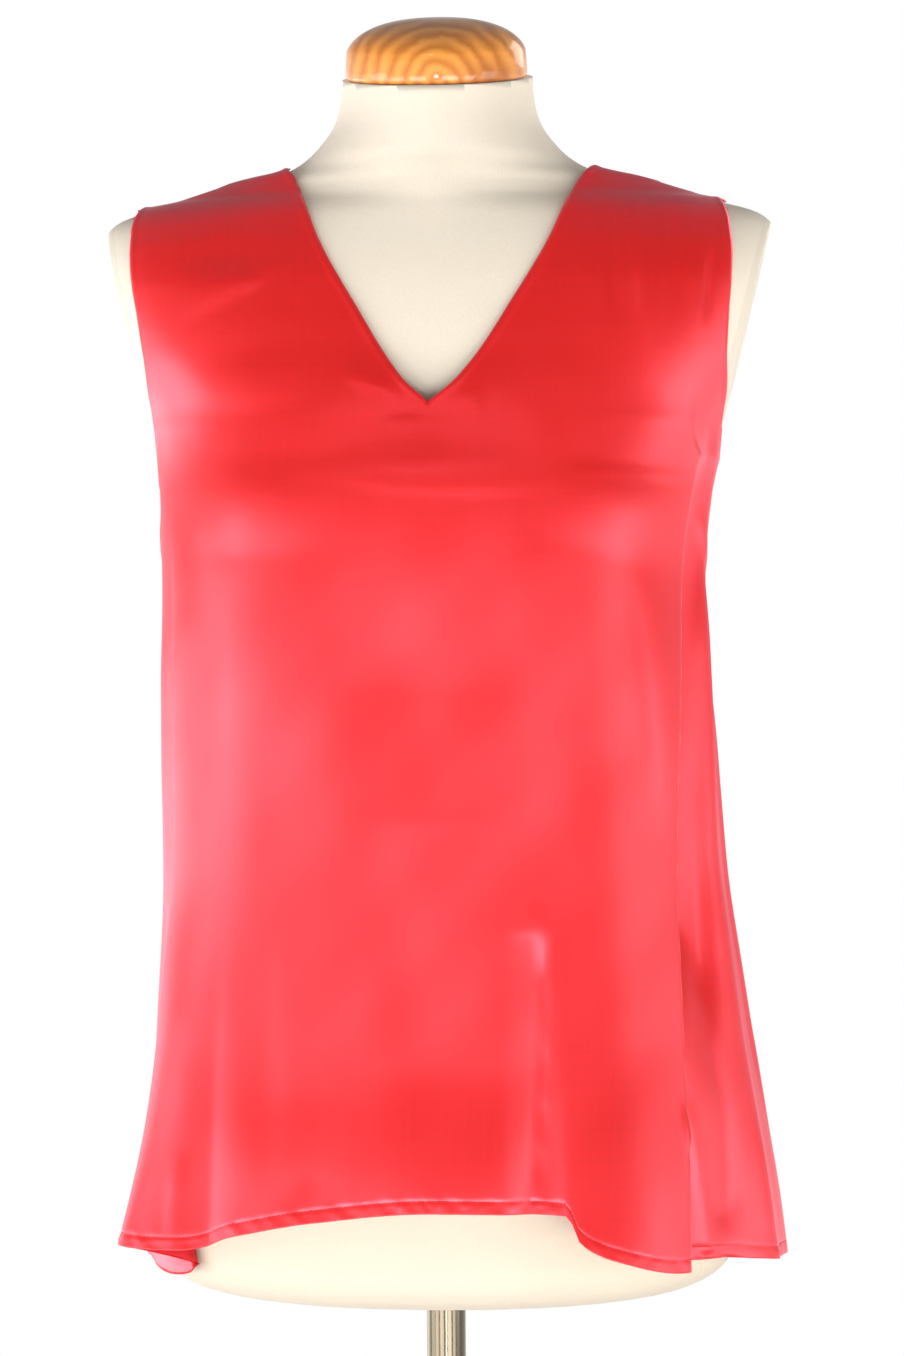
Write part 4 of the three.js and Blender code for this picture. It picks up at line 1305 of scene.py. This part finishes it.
def base_bmesh():
    """The round foot plate, rising to a socket that is bored for the pole."""
    wide, socket, top = BASE_RADIUS, SOCKET_RADIUS, SOCKET_TOP_Z
    bm = turned([
        (0, 0), (wide - 3, 0), (wide, 2), (wide, 8), (wide - 3, 11), (wide - 30, 13.5),
        (socket + 6, 17), (socket, 22), (socket, top - 2), (socket - 2, top),
        (BORE_RADIUS, top), (BORE_RADIUS, BASE_BORE_Z), (0, BASE_BORE_Z),
    ], 144)
    rims = [e for e in bm.edges if e.calc_face_angle(0) > math.radians(20)]
    round_edge(bm, rims, 0.7, 2)
    return bm


class BLOUSE_OT_stand(BlouseOperator, bpy.types.Operator):
    """Steel pole and the round base with its socket"""

    bl_idname = "blouse.stand"
    bl_label = "Pole and Base"

    def execute(self, context):
        colour = context.scene.blouse_form.steel_colour
        drawn = steel_material("polished pole steel", colour, 0.16, (900, 900, 12), 0.00001)
        spun = steel_material("brushed base steel", tinted(colour, 3), 0.34, (60, 60, 900), 0.00004)
        for bm, name, steel, slot, node in (
            (pole_bmesh(), "pole_tube", drawn, "polished_steel", "pole"),
            (base_bmesh(), "base_disc", spun, "base_steel", "base_plate"),
        ):
            piece = finish_mesh(in_metres(bm), name, [steel])
            flat_shading_kept(piece)
            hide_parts(node)
        return {"FINISHED"}


# ---------------------------------------------------------------- stage
CAMERA_AZIMUTH = math.radians(4)
CAMERA_ROLL = math.radians(0.4)
CAMERA_FROM = 2.6
CAMERA_HEIGHT = 1.087
CAMERA_ASIDE = 0.0064
CAMERA_LENS = 109.57
FLOOR_RADIUS = 2.4
FLOOR_DROP = 0.0005

# Softboxes, each aimed at the middle of the blouse: places and sizes in metres, power in watts.
SOFTBOX_AIM = Vector((0, 0, 1.0))
SOFTBOXES = records("name x y z wide tall power green blue", [
    ("left softbox", -2.25, -0.55, 0.65, 1.1, 1.1, 16, 0.99, 1),
    ("left low card", -0.85, -2.15, 0.22, 0.9, 0.6, 15, 1, 1),
    ("left middle card", -1.75, -1.45, 0.2, 0.8, 0.8, 13, 1, 1),
    ("right low card", 0.9, -2.15, 0.22, 0.9, 0.6, 17, 1, 0.97),
    ("right middle card", 1.75, -1.45, 0.25, 0.6, 0.8, 10, 1, 0.97),
    ("right softbox", 2.3, -0.6, 0.75, 0.9, 0.9, 8, 0.96, 0.9),
    ("back left softbox", -2.1, 1.2, 0.6, 1.3, 1.0, 12, 1, 1),
    ("back right softbox", 1.6, 1.6, 2.3, 1.2, 1.2, 12, 1, 1),
    ("front lamp", -0.15, -2.6, 2.3, 0.22, 0.22, 1.6, 1, 1),
    ("front strip", 0.21, -3.0, 0.2, 0.3, 0.5, 12, 1, 1),
])

# Grey of the walls from straight down, at 0, past the horizon, at 0.5, to overhead, at 1.
WALL_GREYS = (
    (0.25, 1.0), (0.36, 1.3), (0.44, 1.0), (0.5, 0.6), (0.6, 0.4), (0.72, 0.18), (0.88, 0.2),
    (0.97, 0.3),
)


def softbox(box, strength):
    light = bpy.data.lights.new(box["name"], "AREA")
    light.shape = "RECTANGLE"
    light.size, light.size_y = box["wide"], box["tall"]
    light.energy = strength * box["power"]
    light.color = (1, box["green"], box["blue"])
    lamp = bpy.data.objects.new(box["name"], light)
    lamp.location = (box["x"], box["y"], box["z"])
    lamp.rotation_euler = (SOFTBOX_AIM - lamp.location).to_track_quat("-Z", "Y").to_euler()
    bpy.context.scene.collection.objects.link(lamp)


def studio_floor():
    bm = bmesh.new()
    bmesh.ops.create_circle(bm, cap_ends=True, radius=FLOOR_RADIUS, segments=96)
    mesh = bpy.data.meshes.new("studio_floor")
    bm.to_mesh(mesh)
    bm.free()
    mesh.materials.append(start_material("floor paint", (0.86, 0.86, 0.86), 0.7)[0])
    floor = bpy.data.objects.new("studio_floor", mesh)
    floor.location.z = -FLOOR_DROP
    bpy.context.scene.collection.objects.link(floor)


def studio_world(brightness):
    """Pale walls, brighter behind the object and dimmer overhead; the camera sees plain white."""
    world = bpy.data.worlds.new("pale studio")
    bpy.context.scene.world = world
    world.use_nodes = True
    nodes = Nodes(world.node_tree)
    walls = world.node_tree.nodes["Background"]
    direction = nodes.add("ShaderNodeTexCoord").outputs["Generated"]
    parts = nodes.add("ShaderNodeSeparateXYZ", {"Vector": direction}).outputs
    height = nodes.span(parts["Z"], 0, 1, start=-1.0)
    greys = nodes.ramp(height, *((at, (grey, grey, grey)) for at, grey in WALL_GREYS))
    behind = nodes.span(parts["Y"], 0.7, 1.8, start=-1.0)
    aside = nodes.span(parts["X"], 1.2, 0.85, start=-1.0)
    glow = nodes.add("ShaderNodeMix", {
        "Factor": 1.0, "A": greys, "B": nodes.math("MULTIPLY", behind, aside),
    }, data_type="RGBA", blend_type="MULTIPLY")
    nodes.feed(walls, {"Color": glow.outputs["Result"], "Strength": brightness})
    white = nodes.add("ShaderNodeBackground", {"Color": (1, 1, 1, 1), "Strength": 1.0})
    both = nodes.add("ShaderNodeMixShader", {
        0: nodes.add("ShaderNodeLightPath").outputs["Is Camera Ray"],
        1: walls.outputs[0],
        2: white.outputs[0],
    })
    nodes.feed(world.node_tree.nodes["World Output"], {"Surface": both.outputs[0]})


def studio_camera():
    """Looks level from a little aside of the front, slightly rolled."""
    side, ahead = math.cos(CAMERA_AZIMUTH), math.sin(CAMERA_AZIMUTH)
    lens = bpy.data.cameras.new("camera")
    lens.sensor_fit = "VERTICAL"
    lens.sensor_height = 36
    lens.lens = CAMERA_LENS
    camera = bpy.data.objects.new("camera", lens)
    camera.location = (
        CAMERA_FROM * ahead + CAMERA_ASIDE * side,
        -CAMERA_FROM * side + CAMERA_ASIDE * ahead,
        CAMERA_HEIGHT,
    )
    level = Matrix.Rotation(CAMERA_AZIMUTH, 4, "Z") @ Matrix.Rotation(math.pi / 2, 4, "X")
    camera.rotation_euler = (level @ Matrix.Rotation(-CAMERA_ROLL, 4, "Z")).to_euler()
    bpy.context.scene.collection.objects.link(camera)
    bpy.context.scene.camera = camera


class BLOUSE_OT_studio(BlouseOperator, bpy.types.Operator):
    """Pale floor, soft lights and the camera"""

    bl_idname = "blouse.studio"
    bl_label = "Studio"

    def execute(self, context):
        look = context.scene.blouse_studio
        studio_floor()
        for box in SOFTBOXES:
            softbox(box, look.key)
        studio_world(look.surround)
        studio_camera()
        context.scene.view_settings.view_transform = "Standard"
        return {"FINISHED"}


class BLOUSE_PT_panel(bpy.types.Panel):
    """Lists the blouse's pieces and settings"""

    bl_idname = "BLOUSE_PT_panel"
    bl_label = "Blouse"
    bl_space_type = "VIEW_3D"
    bl_region_type = "UI"
    bl_category = "Blouse"

    def draw(self, context):
        layout = self.layout
        for operator in OPERATORS:
            layout.operator(operator.bl_idname)
        for group in (context.scene.blouse, context.scene.blouse_form, context.scene.blouse_studio):
            box = layout.box()
            for key in group.bl_rna.properties.keys():
                if key not in ("rna_type", "name"):
                    box.prop(group, key)


OPERATORS = (
    BLOUSE_OT_form, BLOUSE_OT_cap, BLOUSE_OT_stand, BLOUSE_OT_hems, BLOUSE_OT_front,
    BLOUSE_OT_back, BLOUSE_OT_studio,
)
CLASSES = (BlouseSettings, FormSettings, StudioSettings, *OPERATORS, BLOUSE_PT_panel)


def register():
    for cls in CLASSES:
        bpy.utils.register_class(cls)
    bpy.types.Scene.blouse = bpy.props.PointerProperty(type=BlouseSettings)
    bpy.types.Scene.blouse_form = bpy.props.PointerProperty(type=FormSettings)
    bpy.types.Scene.blouse_studio = bpy.props.PointerProperty(type=StudioSettings)


def unregister():
    del bpy.types.Scene.blouse_studio
    del bpy.types.Scene.blouse_form
    del bpy.types.Scene.blouse
    for cls in reversed(CLASSES):
        bpy.utils.unregister_class(cls)


def main():
    register()
    bpy.ops.blouse.form()
    bpy.ops.blouse.cap()
    bpy.ops.blouse.stand()
    bpy.ops.blouse.hems()
    bpy.ops.blouse.front()
    bpy.ops.blouse.back()
    bpy.ops.blouse.studio()


if __name__ == "__main__":
    main()
